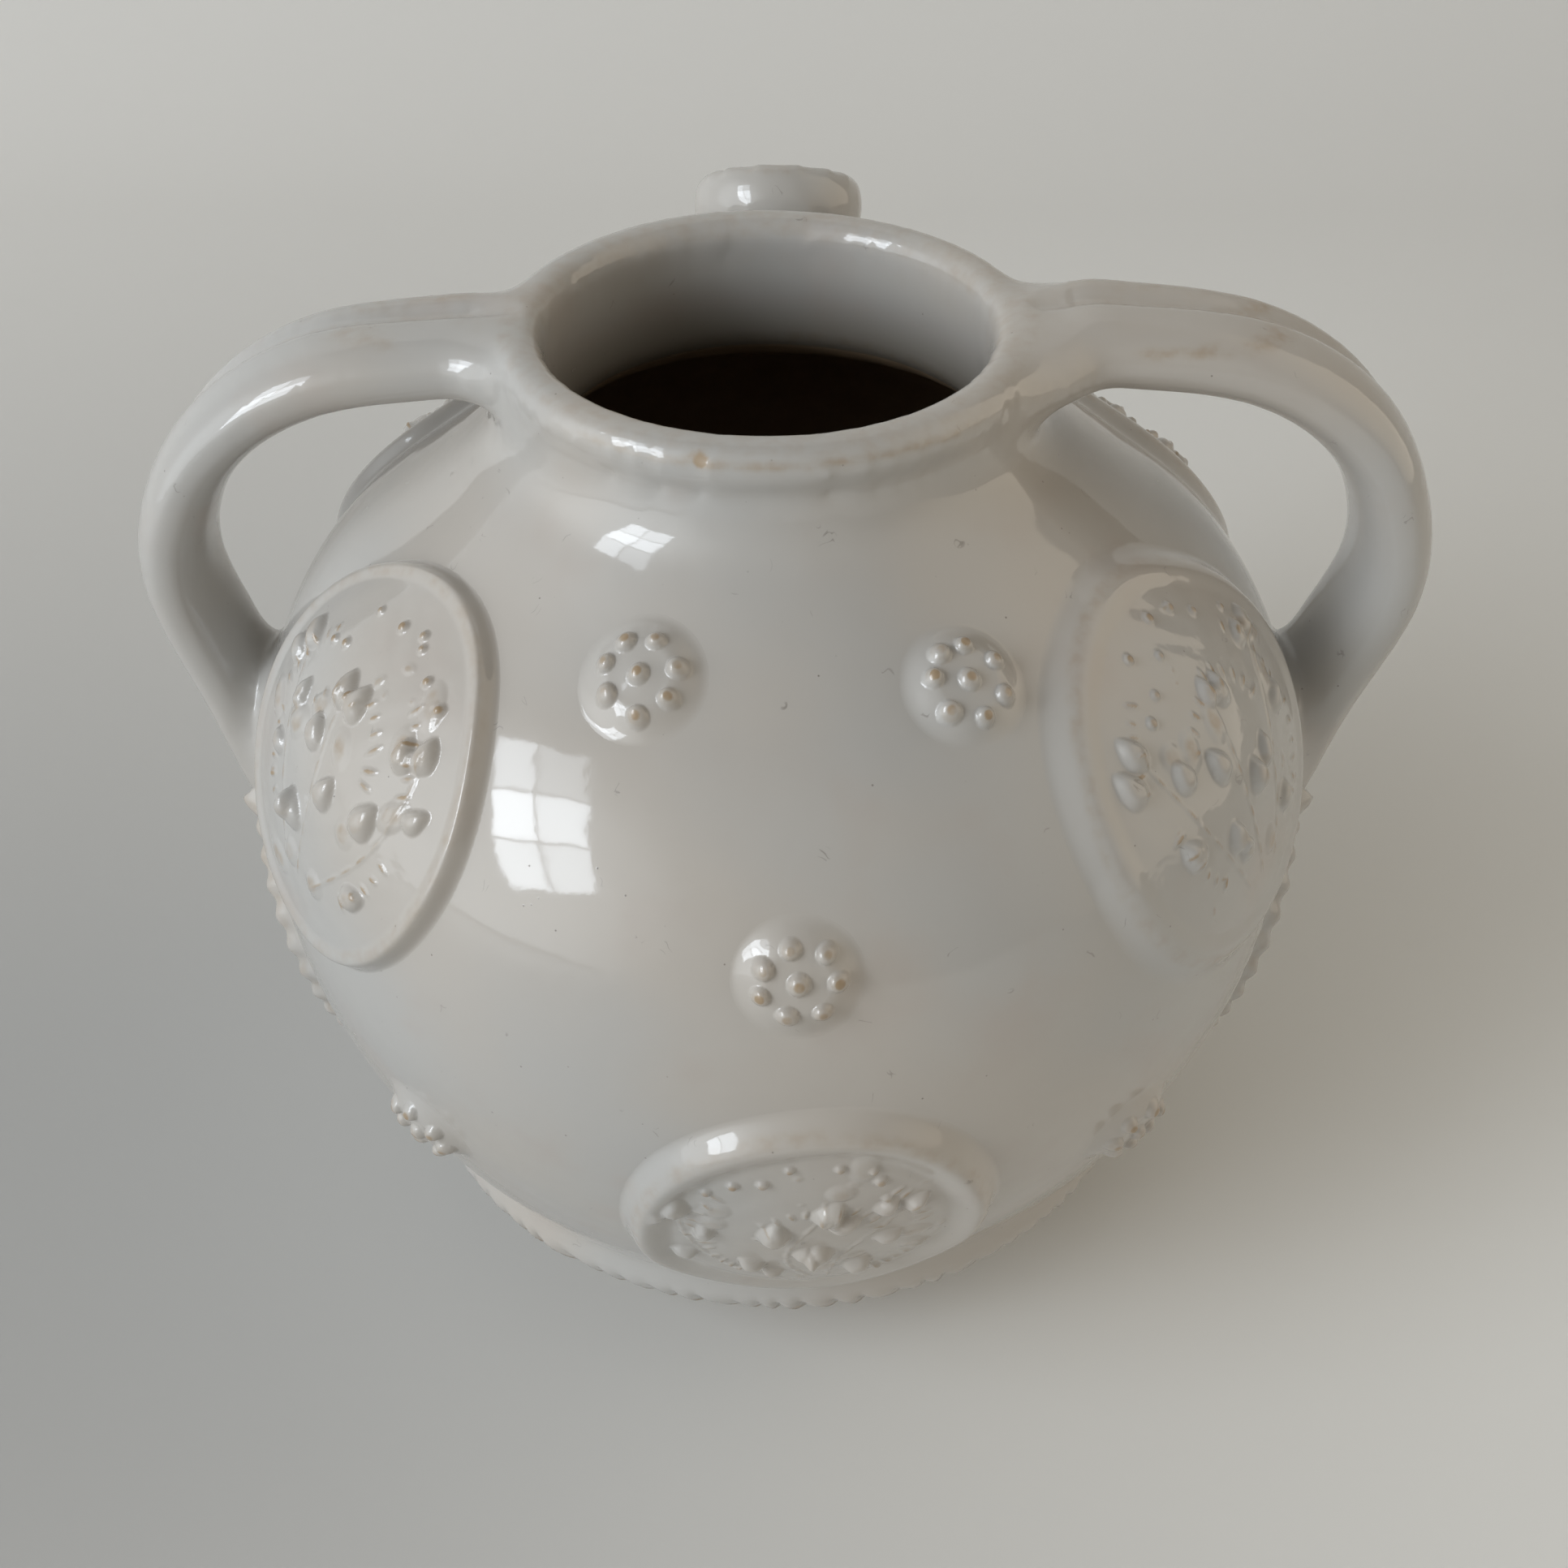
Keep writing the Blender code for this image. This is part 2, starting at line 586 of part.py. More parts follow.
def build_cluster(name, azimuth, rise, ring_turn):
    # A low boss joined with a bead at its middle and a ring of beads about it
    def place_boss(share, turn, height):
        radius = share * CLUSTER_RADIUS
        return on_globe(azimuth, rise, radius * math.sin(turn), radius * math.cos(turn),
                        APPLIED_GAP + height)

    boss = bmesh.new()
    halfway = 0.5 * BEAD_RING_RADIUS / CLUSTER_RADIUS
    rings = [(1.0, 0.0), (1.0, CLUSTER_EDGE), (halfway, dome(halfway * CLUSTER_RADIUS))]
    applied_shell(boss, place_boss, CLUSTER_SEGMENTS, rings)
    cluster = finish("beads_" + name, boss, colour=GLAZE_SHADE)

    middles = [(0.0, 0.0, dome(0.0))]
    for bead in range(BEADS_IN_RING):
        turn = math.radians(ring_turn) + 2.0 * math.pi * bead / BEADS_IN_RING
        middles.append((BEAD_RING_RADIUS * math.sin(turn), BEAD_RING_RADIUS * math.cos(turn),
                        dome(BEAD_RING_RADIUS)))
    beads = bmesh.new()
    for across, along, seat in middles:
        def place_bead(share, turn, height):
            radius = share * BEAD_RADIUS
            return on_globe(azimuth, rise, across + radius * math.sin(turn),
                            along + radius * math.cos(turn), APPLIED_GAP + height)

        # From inside the boss up to the rounded top
        applied_shell(beads, place_bead, BEAD_SIDE_COUNT, [
            (1.0, 0.5 * CLUSTER_EDGE),
            (BEAD_SHOULDER, seat + BEAD_HEIGHT * math.sqrt(1.0 - BEAD_SHOULDER ** 2)),
        ])
    union = cluster.modifiers.new("join_beads", "BOOLEAN")
    union.operation = "UNION"
    union.solver = "EXACT"
    union.object = finish("bead_set_" + name, beads, cutter=True)


def build_applied_pieces(tail_rooms):
    for name, sizes in MEDALLIONS.items():
        medallion = build_medallion(name, *sizes)
        if name in tail_rooms:
            cut(medallion, tail_rooms[name])
    for name, sizes in CLUSTERS.items():
        build_cluster(name, *sizes)


def main():
    clear_scene()
    globe = build_globe()
    build_lip()
    build_foot()
    clearance = vessel_clearance()
    bore = build_spout(clearance)
    cut(globe, bore)
    left = handle_knots(HANDLE_REACH_LEFT, HANDLE_TOP_LEFT, STRAP_HALF_DEPTH_LEFT,
                        HANDLE_SQUARENESS_LEFT, ROOT_HALF_WIDTH_LEFT, ROOT_SHIFT_LEFT)
    right = handle_knots(HANDLE_REACH_RIGHT, HANDLE_TOP_RIGHT, STRAP_HALF_DEPTH_RIGHT,
                         HANDLE_SQUARENESS_RIGHT, ROOT_HALF_WIDTH_RIGHT, ROOT_SHIFT_RIGHT)
    # The tails are pressed down over the tops of the two side medallions
    tail_rooms = {
        "low_left": build_handle("left", -1.0, left, clearance),
        "low_right": build_handle("right", 1.0, right, clearance),
    }
    build_girdle()
    build_applied_pieces(tail_rooms)


main()
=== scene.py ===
import math
import random

import bmesh
import bpy
import numpy as np
from mathutils import Matrix, Vector
from mathutils.bvhtree import BVHTree


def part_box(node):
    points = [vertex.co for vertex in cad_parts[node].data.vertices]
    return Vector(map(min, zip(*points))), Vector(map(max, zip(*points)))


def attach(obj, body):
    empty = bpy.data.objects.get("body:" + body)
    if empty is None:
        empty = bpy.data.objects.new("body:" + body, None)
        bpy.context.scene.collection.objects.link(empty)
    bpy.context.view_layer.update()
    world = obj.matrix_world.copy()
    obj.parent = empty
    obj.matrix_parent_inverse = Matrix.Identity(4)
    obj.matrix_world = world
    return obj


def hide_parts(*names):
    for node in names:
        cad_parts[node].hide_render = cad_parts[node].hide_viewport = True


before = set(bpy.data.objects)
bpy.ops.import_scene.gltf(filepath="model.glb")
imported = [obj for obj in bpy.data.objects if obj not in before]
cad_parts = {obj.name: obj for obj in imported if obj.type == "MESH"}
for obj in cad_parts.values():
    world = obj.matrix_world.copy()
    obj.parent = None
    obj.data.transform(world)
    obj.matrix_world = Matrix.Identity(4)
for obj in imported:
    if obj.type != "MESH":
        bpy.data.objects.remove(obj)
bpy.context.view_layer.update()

# A thrown two-handled pitcher under a glossy warm white tin glaze.
# Azimuth 0 is the front, at -Y, and +90 the right-hand handle.

mm = 0.001
bpy.ops.object.select_all(action="DESELECT")
print("frame loaded:", len(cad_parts), "nodes")


# Small helpers

def inMm(sizes):
    return {name: size * mm for name, size in sizes.items()}


def pick(obj):
    bpy.ops.object.select_all(action="DESELECT")
    bpy.context.view_layer.objects.active = obj
    obj.select_set(True)


def editMode(obj):
    pick(obj)
    bpy.ops.object.mode_set(mode="EDIT")


def editNamed(name):
    obj = bpy.context.active_object
    obj.name = name
    editMode(obj)
    return obj


def selectAll():
    bpy.ops.mesh.select_all(action="SELECT")


def objectMode():
    bpy.ops.object.mode_set(mode="OBJECT")


def addModifier(obj, kind, **settings):
    bpy.context.view_layer.objects.active = obj
    mod = obj.modifiers.new(kind.title(), kind)
    for key, value in settings.items():
        setattr(mod, key, value)
    bpy.ops.object.modifier_apply(modifier=mod.name)


def cutAway(obj, cutter):
    addModifier(obj, "BOOLEAN", operation="DIFFERENCE", solver="EXACT", object=cutter)
    bpy.data.objects.remove(cutter, do_unlink=True)


def joinPieces(name, first, *others):
    pick(first)
    for obj in others:
        obj.select_set(True)
    bpy.ops.object.join()
    first.name = name
    return first


def readPoints(obj):
    flat = np.zeros(len(obj.data.vertices) * 3)
    obj.data.vertices.foreach_get("co", flat)
    return flat.reshape(-1, 3)


def writePoints(obj, points):
    obj.data.vertices.foreach_set("co", np.ascontiguousarray(points, dtype=np.float32).ravel())
    obj.data.update()


def readNormals(obj):
    flat = np.zeros(len(obj.data.vertices) * 3, np.float32)
    obj.data.vertex_normals.foreach_get("vector", flat)
    return flat.reshape(-1, 3).astype(float)


def writeMask(obj, name, values):
    layer = obj.data.attributes.get(name) or obj.data.attributes.new(name, "FLOAT", "POINT")
    layer.data.foreach_set("value", np.clip(values, 0.0, 1.0).astype(np.float32))


def easeStep(low, high, value):
    t = np.clip((value - low) / (high - low), 0.0, 1.0)
    return t * t * (3.0 - 2.0 * t)


def fall(low, high, value):
    return 1.0 - easeStep(low, high, value)


def stepMm(low, high, value):
    return easeStep(low * mm, high * mm, value)


def fallMm(low, high, value):
    return 1.0 - stepMm(low, high, value)


def bulge(value, power):
    return math.copysign(abs(value) ** power, value)


def easeThrough(stations, value):
    # Eased steps from station to station, so each station is a rounded crest or hollow
    result = np.full(np.shape(value), float(stations[0][1]))
    for (a, low), (b, high) in zip(stations, stations[1:]):
        result = result + (high - low) * easeStep(a, b, value)
    return result


# The thrown globe: two superellipse halves meet at its widest circle, from which rises are measured

thrown = inMm({
    "equator": 97.0, "shoulderRise": 77.4, "bellyDrop": 115.8, "lowEdge": 6.3, "wall": 4.6, "floor": 6.0,
    "mouthRadius": 38.8, "neckTop": 90.4, "throatRise": 73.5, "throatSpread": 7.0, "floorRound": 1.0,
    "floorCorner": 3.0, "collarRadius": 45.7, "collarRise": 86.4, "sweepRadius": 72.0, "sweepLength": 38.27,
    "neckLean": -1.7,  # the neck was thrown a little off centre
}) | {
    "radius": 0.5 * (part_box("body_globe")[1][0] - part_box("body_globe")[0][0]),
    "shoulderFullness": 2.40,
    "bellyFullness": 1.77,
    # the shoulder sweeps up to the crease below the lip: its slope in degrees at shares of the way
    "sweepSlopes": ((0.0, 34.8), (0.1, 36.9), (0.7, 39.9), (1.0, 84.0)),
    # the crease itself, as steps out and up from the collar in millimetres
    "creaseSteps": ((-0.2, 1.6), (-1.4, 2.8)),
    "topShare": 0.98,  # the globe's curve is used up to this share of its rise
    "steps": 128,
}


def riseOf(points):
    return points[:, 2] - thrown["equator"]


def fromAxis(points):
    return np.hypot(points[:, 0], points[:, 1])


def fromNeck(points):
    return np.hypot(points[:, 0] - thrown["neckLean"], points[:, 1])


def halfShape(rise):
    above = np.asarray(rise) >= 0.0
    height = np.where(above, thrown["shoulderRise"], thrown["bellyDrop"])
    power = np.where(above, thrown["shoulderFullness"], thrown["bellyFullness"])
    return height, power


def globeRadius(rise):
    height, power = halfShape(rise)
    share = np.minimum(np.abs(rise) / height, 1.0)
    return thrown["radius"] * (1.0 - share ** power) ** (1.0 / power)


def wallRadius(rise):
    return globeRadius(np.minimum(rise, thrown["topShare"] * thrown["shoulderRise"]))


def globeNormal(rise):
    height, power = halfShape(rise)
    out = (globeRadius(rise) / thrown["radius"]) ** (power - 1.0) / thrown["radius"]
    up = np.sign(rise) * (np.abs(rise) / height) ** (power - 1.0) / height
    length = np.hypot(out, up)
    return out / length, up / length


meridianRises = np.linspace(-0.985 * thrown["bellyDrop"], 0.985 * thrown["shoulderRise"], 2400)
meridianRadii = globeRadius(meridianRises)
meridianSteps = np.hypot(np.diff(meridianRises), np.diff(meridianRadii))
meridianLengths = np.concatenate([[0.0], np.cumsum(meridianSteps)])


def unevenness(points):
    # Slow waves of a hand-thrown wall, in metres along the normal
    x, y, z = points[:, 0], points[:, 1], points[:, 2]
    wave = np.sin(61.0 * x + 23.0 * z + 0.7) * np.cos(53.0 * y - 31.0 * z)
    wave += 0.6 * np.sin(97.0 * z + 37.0 * y + 2.1) * np.cos(71.0 * x - 1.3)
    wave += 0.35 * np.sin(151.0 * z + 45.0 * x * 2.0 + 0.4)
    return 0.16 * mm * wave


def walkUp(rise, along):
    start = np.interp(rise, meridianRises, meridianLengths)
    return np.interp(start + along, meridianLengths, meridianRises)


def atTurn(turn, rise):
    # The point of the globe at a turn about its axis, and the way out there
    out, up = globeNormal(rise)
    radius = globeRadius(rise)
    east, south = np.sin(turn), -np.cos(turn)
    base = np.stack([radius * east, radius * south, thrown["equator"] + rise], 1)
    return base, np.stack([out * east, out * south, up], 1)


def onGlobe(azimuth, rise, across, along):
    # Walks along and across the globe from a centre
    here = walkUp(rise, along)
    mean = 0.5 * (globeRadius(np.asarray(rise)) + globeRadius(here))
    return atTurn(math.radians(azimuth) + across / mean, here)


def ontoPot(base, normal, reach=4.0 * mm):
    # The fused pot's own surface lies a little in or out of the drawn globe
    offset = np.zeros(len(base))
    for index, (point, way) in enumerate(zip(base, normal)):
        hit = potTree.ray_cast(Vector(point + way * reach), Vector(-way), 2.0 * reach)
        if hit[3] is not None and abs(reach - hit[3]) < 0.8 * reach:
            offset[index] = reach - hit[3]
    return offset


# Turned and pulled clay

def turnOnWheel(name, profile, steps=thrown["steps"]):
    # Draws the profile by extruding one point, then spins it about the upright axis
    bpy.ops.mesh.primitive_plane_add(size=mm)
    obj = editNamed(name)
    bpy.ops.mesh.select_mode(type="VERT")
    selectAll()
    bpy.ops.mesh.merge(type="CENTER")
    bpy.ops.transform.translate(value=(profile[0][0], 0, profile[0][1]))
    for (r0, z0), (r1, z1) in zip(profile, profile[1:]):
        bpy.ops.mesh.extrude_region_move(TRANSFORM_OT_translate={"value": (r1 - r0, 0, z1 - z0)})
    selectAll()
    bpy.ops.mesh.spin(steps=steps, angle=2.0 * math.pi, center=(0, 0, 0), axis=(0, 0, 1))
    selectAll()
    bpy.ops.mesh.remove_doubles(threshold=0.01 * mm)
    bpy.ops.mesh.normals_make_consistent(inside=False)
    objectMode()
    return obj


def offsetMeridian(low, high, count, offset):
    ends = np.interp((low, high), meridianRises, meridianLengths)
    rises = np.interp(np.linspace(*ends, count), meridianLengths, meridianRises)
    out, up = globeNormal(rises)
    return list(zip(globeRadius(rises) + offset * out, rises + offset * up))


def riseForRadius(radius):
    share = (radius / thrown["radius"]) ** thrown["shoulderFullness"]
    return thrown["shoulderRise"] * (1.0 - share) ** (1.0 / thrown["shoulderFullness"])


def neckSweep(count):
    # From the shoulder almost straight up the cone of the neck, then a quick turn into the crease
    radius, rise = thrown["sweepRadius"], riseForRadius(thrown["sweepRadius"])
    step = thrown["sweepLength"] / count
    points = []
    for index in range(count):
        slope = math.radians(float(easeThrough(thrown["sweepSlopes"], (index + 0.5) / count)))
        radius, rise = radius - step * math.cos(slope), rise + step * math.sin(slope)
        points.append((radius, rise))
    return points


def throwGlobe():
    low = thrown["lowEdge"] - thrown["equator"]
    shoulderEnd = riseForRadius(thrown["sweepRadius"])
    throat = riseForRadius(thrown["mouthRadius"] + thrown["throatSpread"])
    floorRise = low + thrown["floor"]
    profile = [(0.0, low)] + offsetMeridian(low, shoulderEnd, 60, 0.0) + neckSweep(28)
    profile += [(thrown["collarRadius"] + out * mm, thrown["collarRise"] + up * mm)
                for out, up in thrown["creaseSteps"]]
    profile += [(profile[-1][0], thrown["neckTop"]), (thrown["mouthRadius"], thrown["neckTop"]),
                (thrown["mouthRadius"], thrown["throatRise"])]
    inner = offsetMeridian(throat, low, 50, -thrown["wall"])
    inner = [point for point in inner if point[1] > floorRise + thrown["floorRound"]]
    profile += inner + [(inner[-1][0] - thrown["floorCorner"], floorRise), (0.0, floorRise)]
    return turnOnWheel("globe", [(r, z + thrown["equator"]) for r, z in profile])


lip = inMm({"halfWidth": 4.3, "halfHeight": 4.1, "lift": 3.1, "overlap": 0.2}) | {
    "squareness": 2.2, "sections": 28, "nick": (-10.2 * mm, -45.4 * mm, 95.6 * mm)}


def rollLip():
    # A roll over the neck's edge, tucked down over its top so the two grow together
    middle = thrown["mouthRadius"] + lip["halfWidth"] - lip["overlap"]
    centre = thrown["equator"] + thrown["neckTop"] + lip["lift"]
    power = 2.0 / lip["squareness"]
    profile = []
    for step in range(lip["sections"] + 1):
        turn = 2.0 * math.pi * step / lip["sections"]
        profile.append((middle + lip["halfWidth"] * bulge(math.cos(turn), power),
                        centre + lip["halfHeight"] * bulge(math.sin(turn), power)))
    return turnOnWheel("lip", profile)


spout = inMm({
    "seatRise": 62.5, "sunk": 3.5, "radius": 13.6, "boreRadius": 9.4, "boreLength": 40.0, "flare": 5.0,
    "footReach": 1.5, "footDepth": 0.8, "collarFrom": 17.8, "collarReach": 3.8, "collarHeight": 12.0,
}) | {"rounding": 0.8, "steps": 56}


def placeSpout(obj):
    # Stands square to the back shoulder
    rise = spout["seatRise"]
    out, up = globeNormal(rise)
    lean = math.atan2(float(out), float(up))
    obj.rotation_euler = (-lean, 0, 0)
    obj.location = (0, float(globeRadius(rise)), thrown["equator"] + rise)
    pick(obj)
    bpy.ops.object.transform_apply(location=True, rotation=True, scale=True)


def turnSpout():
    foot = spout["radius"] + spout["flare"]
    outer = spout["radius"] + spout["collarReach"]
    profile = [(spout["boreRadius"], -spout["sunk"]), (foot + spout["footReach"], -spout["sunk"]),
               (foot, -spout["footDepth"])]
    for step in range(6):
        turn = 0.5 * math.pi * step / 5
        profile.append((foot - spout["flare"] * math.sin(turn), spout["flare"] * (1.0 - math.cos(turn))))
    middle = 0.5 * (spout["boreRadius"] + outer)
    halfWidth = 0.5 * (outer - spout["boreRadius"])
    halfHeight = 0.5 * spout["collarHeight"]
    profile.append((spout["radius"], spout["collarFrom"]))
    for step in range(13):
        turn = math.pi * (-0.32 + 1.32 * step / 12)
        profile.append((middle + halfWidth * bulge(math.cos(turn), spout["rounding"]),
                        spout["collarFrom"] + halfHeight * (1.0 + bulge(math.sin(turn), spout["rounding"]))))
    profile.append((spout["boreRadius"], -spout["sunk"]))
    tube = turnOnWheel("spout", profile, spout["steps"])
    placeSpout(tube)
    bpy.ops.mesh.primitive_cylinder_add(
        vertices=spout["steps"], radius=spout["boreRadius"], depth=spout["boreLength"])
    bore = bpy.context.active_object
    placeSpout(bore)
    return tube, bore


# Each strap's end is cut to the round of the neck, the trim
strap = inMm({
    "halfWidth": 13.2, "shift": 2.5, "archStart": 57.0, "bendRise": 45.0, "grooveDepth": 1.9,
    "grooveWidth": 2.9, "grooveFrom": 1.6, "grooveTo": 6.8, "rootRise": 91.4, "rootStart": 28.0, "trim": 41.6,
    "trimHeight": 60.0, "tailHalfWidth": 10.5, "tailHalfDepth": 3.0,
}) | {"squareness": 2.25, "points": 32, "spanSteps": 6, "ridgeShare": 0.35, "ridgePlace": 1.9}
handles = {
    "left": inMm({"reach": 111.6, "top": 90.4, "halfDepth": 6.5, "rootHalfWidth": 19.0, "rootShift": 0.0})
    | {"side": -1.0, "squareness": 2.15},
    "right": inMm({"reach": 113.6, "top": 92.8, "halfDepth": 7.0, "rootHalfWidth": 21.5, "rootShift": -0.5})
    | {"side": 1.0, "squareness": 2.3},
}


def strapRows(hand):
    # Distance out, rise, half width, half depth, shift to the back, the groove's share and place across
    radius, wide, deep = thrown["radius"], strap["halfWidth"], hand["halfDepth"]
    start, bend = strap["archStart"], strap["bendRise"]
    rows = []
    for share, at in ((1.0, strap["rootStart"]), (1.0, 40.0 * mm), (0.62, 46.0 * mm), (0.25, 51.5 * mm)):
        rows.append((at, hand["top"] + (strap["rootRise"] - hand["top"]) * min(1.0, 1.3 * share),
                     wide + (hand["rootHalfWidth"] - wide) * share, deep,
                     strap["shift"] + (hand["rootShift"] - strap["shift"]) * share, 1.0 - share,
                     strap["grooveFrom"]))
    for step in range(5):
        turn = 0.5 * math.pi * step / 4
        power = 2.0 / hand["squareness"]
        rows.append((start + (hand["reach"] - start) * math.sin(turn) ** power,
                     bend + (hand["top"] - bend) * max(math.cos(turn), 0.0) ** power,
                     wide, deep, strap["shift"], 1.0 - 0.5 * step / 4,
                     strap["grooveFrom"] + (strap["grooveTo"] - strap["grooveFrom"]) * step / 4))
    edge = strap["grooveTo"]
    rows.append((radius + 4.8 * mm, 19.0 * mm, wide, deep, strap["shift"], 0.2, edge))
    rows.append((radius + 1.2 * mm, 0.0, 0.5 * (wide + strap["tailHalfWidth"]),
                 0.5 * (deep + strap["tailHalfDepth"]), 0.5 * strap["shift"], 0.0, edge))
    rows.append((radius - 1.6 * mm, -11.0 * mm, strap["tailHalfWidth"], strap["tailHalfDepth"],
                 0.0, 0.0, edge))
    table = np.array(rows)
    padded = np.vstack([2 * table[0] - table[1], table, 2 * table[-1] - table[-2]])
    fine = []
    for i in range(1, len(padded) - 2):
        a, b, c, d = padded[i - 1:i + 3]
        for step in range(strap["spanSteps"]):
            t = step / strap["spanSteps"]
            fine.append(0.5 * (2 * b + (c - a) * t + (2 * a - 5 * b + 4 * c - d) * t * t
                               + (3 * b - a - 3 * c + d) * t ** 3))
    fine.append(table[-1])
    return np.array(fine)


def pullStrap(name, hand):
    # A round slice of clay is drawn out ring by ring along the handle's course
    rows = strapRows(hand)
    tangents = np.gradient(rows[:, :2], axis=0)
    power = 2.0 / strap["squareness"]
    bpy.ops.mesh.primitive_circle_add(vertices=strap["points"], radius=10.0 * mm, fill_type="NGON")
    obj = editNamed(name)
    bm = bmesh.from_edit_mesh(obj.data)
    turnLayer = bm.verts.layers.float.new("turn")
    for vert in bm.verts:
        vert[turnLayer] = math.atan2(vert.co.y, vert.co.x)
    for index, ((out, rise, halfWidth, halfDepth, shift), (dx, dz)) in enumerate(zip(rows[:, :5], tangents)):
        if index:
            bpy.ops.mesh.extrude_region_move()
        bm = bmesh.from_edit_mesh(obj.data)
        turnLayer = bm.verts.layers.float["turn"]
        length = math.hypot(dx, dz)
        normal = Vector((-dz / length, 0.0, dx / length))
        for vert in bm.verts:
            if not vert.select:
                continue
            c, s = math.cos(vert[turnLayer]), math.sin(vert[turnLayer])
            across, outward = halfWidth * bulge(c, power), halfDepth * bulge(s, power)
            point = Vector((out, shift + across, thrown["equator"] + rise)) + normal * outward
            vert.co = (hand["side"] * point.x, point.y, point.z)
        bmesh.update_edit_mesh(obj.data)
    selectAll()
    bpy.ops.mesh.normals_make_consistent(inside=False)
    objectMode()
    bpy.ops.mesh.primitive_cylinder_add(
        vertices=96, radius=strap["trim"], depth=strap["trimHeight"],
        location=(thrown["neckLean"], 0, thrown["equator"] + hand["top"]))
    cutAway(obj, bpy.context.active_object)
    return obj


def acrossStraps(points):
    # For each point: its place across a groove in the groove's widths, the groove's share on the
    # outer side of the strap, and the way out
    place, share = np.zeros(len(points)), np.zeros(len(points))
    direction = np.zeros((len(points), 3))
    for hand in handles.values():
        rows = strapRows(hand)
        tangents = np.gradient(rows[:, :2], axis=0)
        tangents /= np.linalg.norm(tangents, axis=1)[:, None]
        near = np.flatnonzero((hand["side"] * points[:, 0] > 44.0 * mm) & (np.abs(points[:, 1]) < 30.0 * mm)
                              & (riseOf(points) > -4.0 * mm))
        flat = np.stack([hand["side"] * points[near, 0], riseOf(points[near])], 1)
        gaps = np.linalg.norm(flat[:, None, :] - rows[None, :, :2], axis=2)
        close = np.min(gaps, axis=1) < 10.0 * mm
        near, flat, best = near[close], flat[close], np.argmin(gaps, axis=1)[close]
        normal = np.stack([-tangents[best, 1], tangents[best, 0]], 1)
        outward = np.sum((flat - rows[best, :2]) * normal, axis=1)
        place[near] = (points[near, 1] - rows[best, 4] - rows[best, 6]) / strap["grooveWidth"]
        share[near] = rows[best, 5] * stepMm(1.0, 4.0, outward)
        direction[near] = np.stack([hand["side"] * normal[:, 0], np.zeros(len(near)), normal[:, 1]], 1)
    return place, share, direction


def pressGrooves(points):
    # A fingertip drawn along each strap leaves a groove, with a narrow ridge behind it
    place, share, direction = acrossStraps(points)
    dip = np.exp(-place ** 2) - strap["ridgeShare"] * np.exp(-(place - strap["ridgePlace"]) ** 2)
    return points - direction * (strap["grooveDepth"] * share * dip)[:, None]


fusing = {"voxel": 2.0 * mm, "fairPasses": 9, "fillPasses": 22, "rootFillPasses": 75, "fillFrom": 0.008 * mm,
          "innerShare": 0.2, "neckKept": 0.95, "fineBeyond": 1.5 * mm, "fineRadius": 66.0 * mm}


def neighbourAverage(obj):
    flat = np.zeros(len(obj.data.edges) * 2, np.int64)
    obj.data.edges.foreach_get("vertices", flat)
    a, b = flat.reshape(-1, 2).T
    count = np.bincount(np.concatenate([a, b]), minlength=len(obj.data.vertices)).astype(float)

    def average(points):
        total = np.zeros_like(points)
        for axis in range(3):
            total[:, axis] = np.bincount(a, points[b, axis], len(points))
            total[:, axis] += np.bincount(b, points[a, axis], len(points))
        return total / np.maximum(count, 1.0)[:, None]

    return average


def fairSurface(obj, passes):
    # Evens out the fine steps without shrinking the form
    average = neighbourAverage(obj)
    points = readPoints(obj)
    for step in range(passes):
        points = points + 0.5 * (average(points) - points)
        points = points - 0.52 * (average(points) - points)
    writePoints(obj, points)


def fillCorners(obj, passes, threshold, where):
    # Slip and glaze gather only in hollow corners, as fillets
    average = neighbourAverage(obj)
    share = where(readPoints(obj))
    for step in range(passes):
        points, normals = readPoints(obj), readNormals(obj)
        rise = np.sum((average(points) - points) * normals, axis=1)
        writePoints(obj, points + normals * (0.7 * share * np.maximum(rise - threshold, 0.0))[:, None])


def nearRoots(points):
    # Where the straps were smoothed into the lip and the shoulder, outside the mouth
    radius = fromNeck(points)
    ring = stepMm(40.5, 43.0, radius) * fallMm(58.0, 66.0, radius)
    beside = fallMm(24.0, 36.0, np.abs(points[:, 1] + 2.0 * mm))
    return ring * beside * stepMm(83.0, 88.0, riseOf(points))


def offTheNeck(points):
    # The neck keeps its crease below the lip
    ring = fallMm(56.0, 64.0, fromNeck(points)) * stepMm(66.0, 72.0, riseOf(points))
    beside = stepMm(24.0, 30.0, np.abs(points[:, 1]))
    return 1.0 - fusing["neckKept"] * ring * beside


def onInnerWall(points):
    rise = riseOf(points)
    within = fromAxis(points) < wallRadius(rise) - 0.5 * thrown["wall"]
    belowThroat = rise < thrown["throatRise"] - 1.0 * mm
    return within & belowThroat & (rise > thrown["lowEdge"] + 0.5 * thrown["floor"] - thrown["equator"])


def selectFaces(obj, chosen):
    # chosen is a mask over the points; a face counts when all its corners do
    editMode(obj)
    bpy.ops.mesh.select_mode(type="FACE")
    bpy.ops.mesh.select_all(action="DESELECT")
    bm = bmesh.from_edit_mesh(obj.data)
    bm.verts.ensure_lookup_table()
    for face in bm.faces:
        face.select = all(chosen[vert.index] for vert in face.verts)
    bm.select_flush_mode()
    bmesh.update_edit_mesh(obj.data)


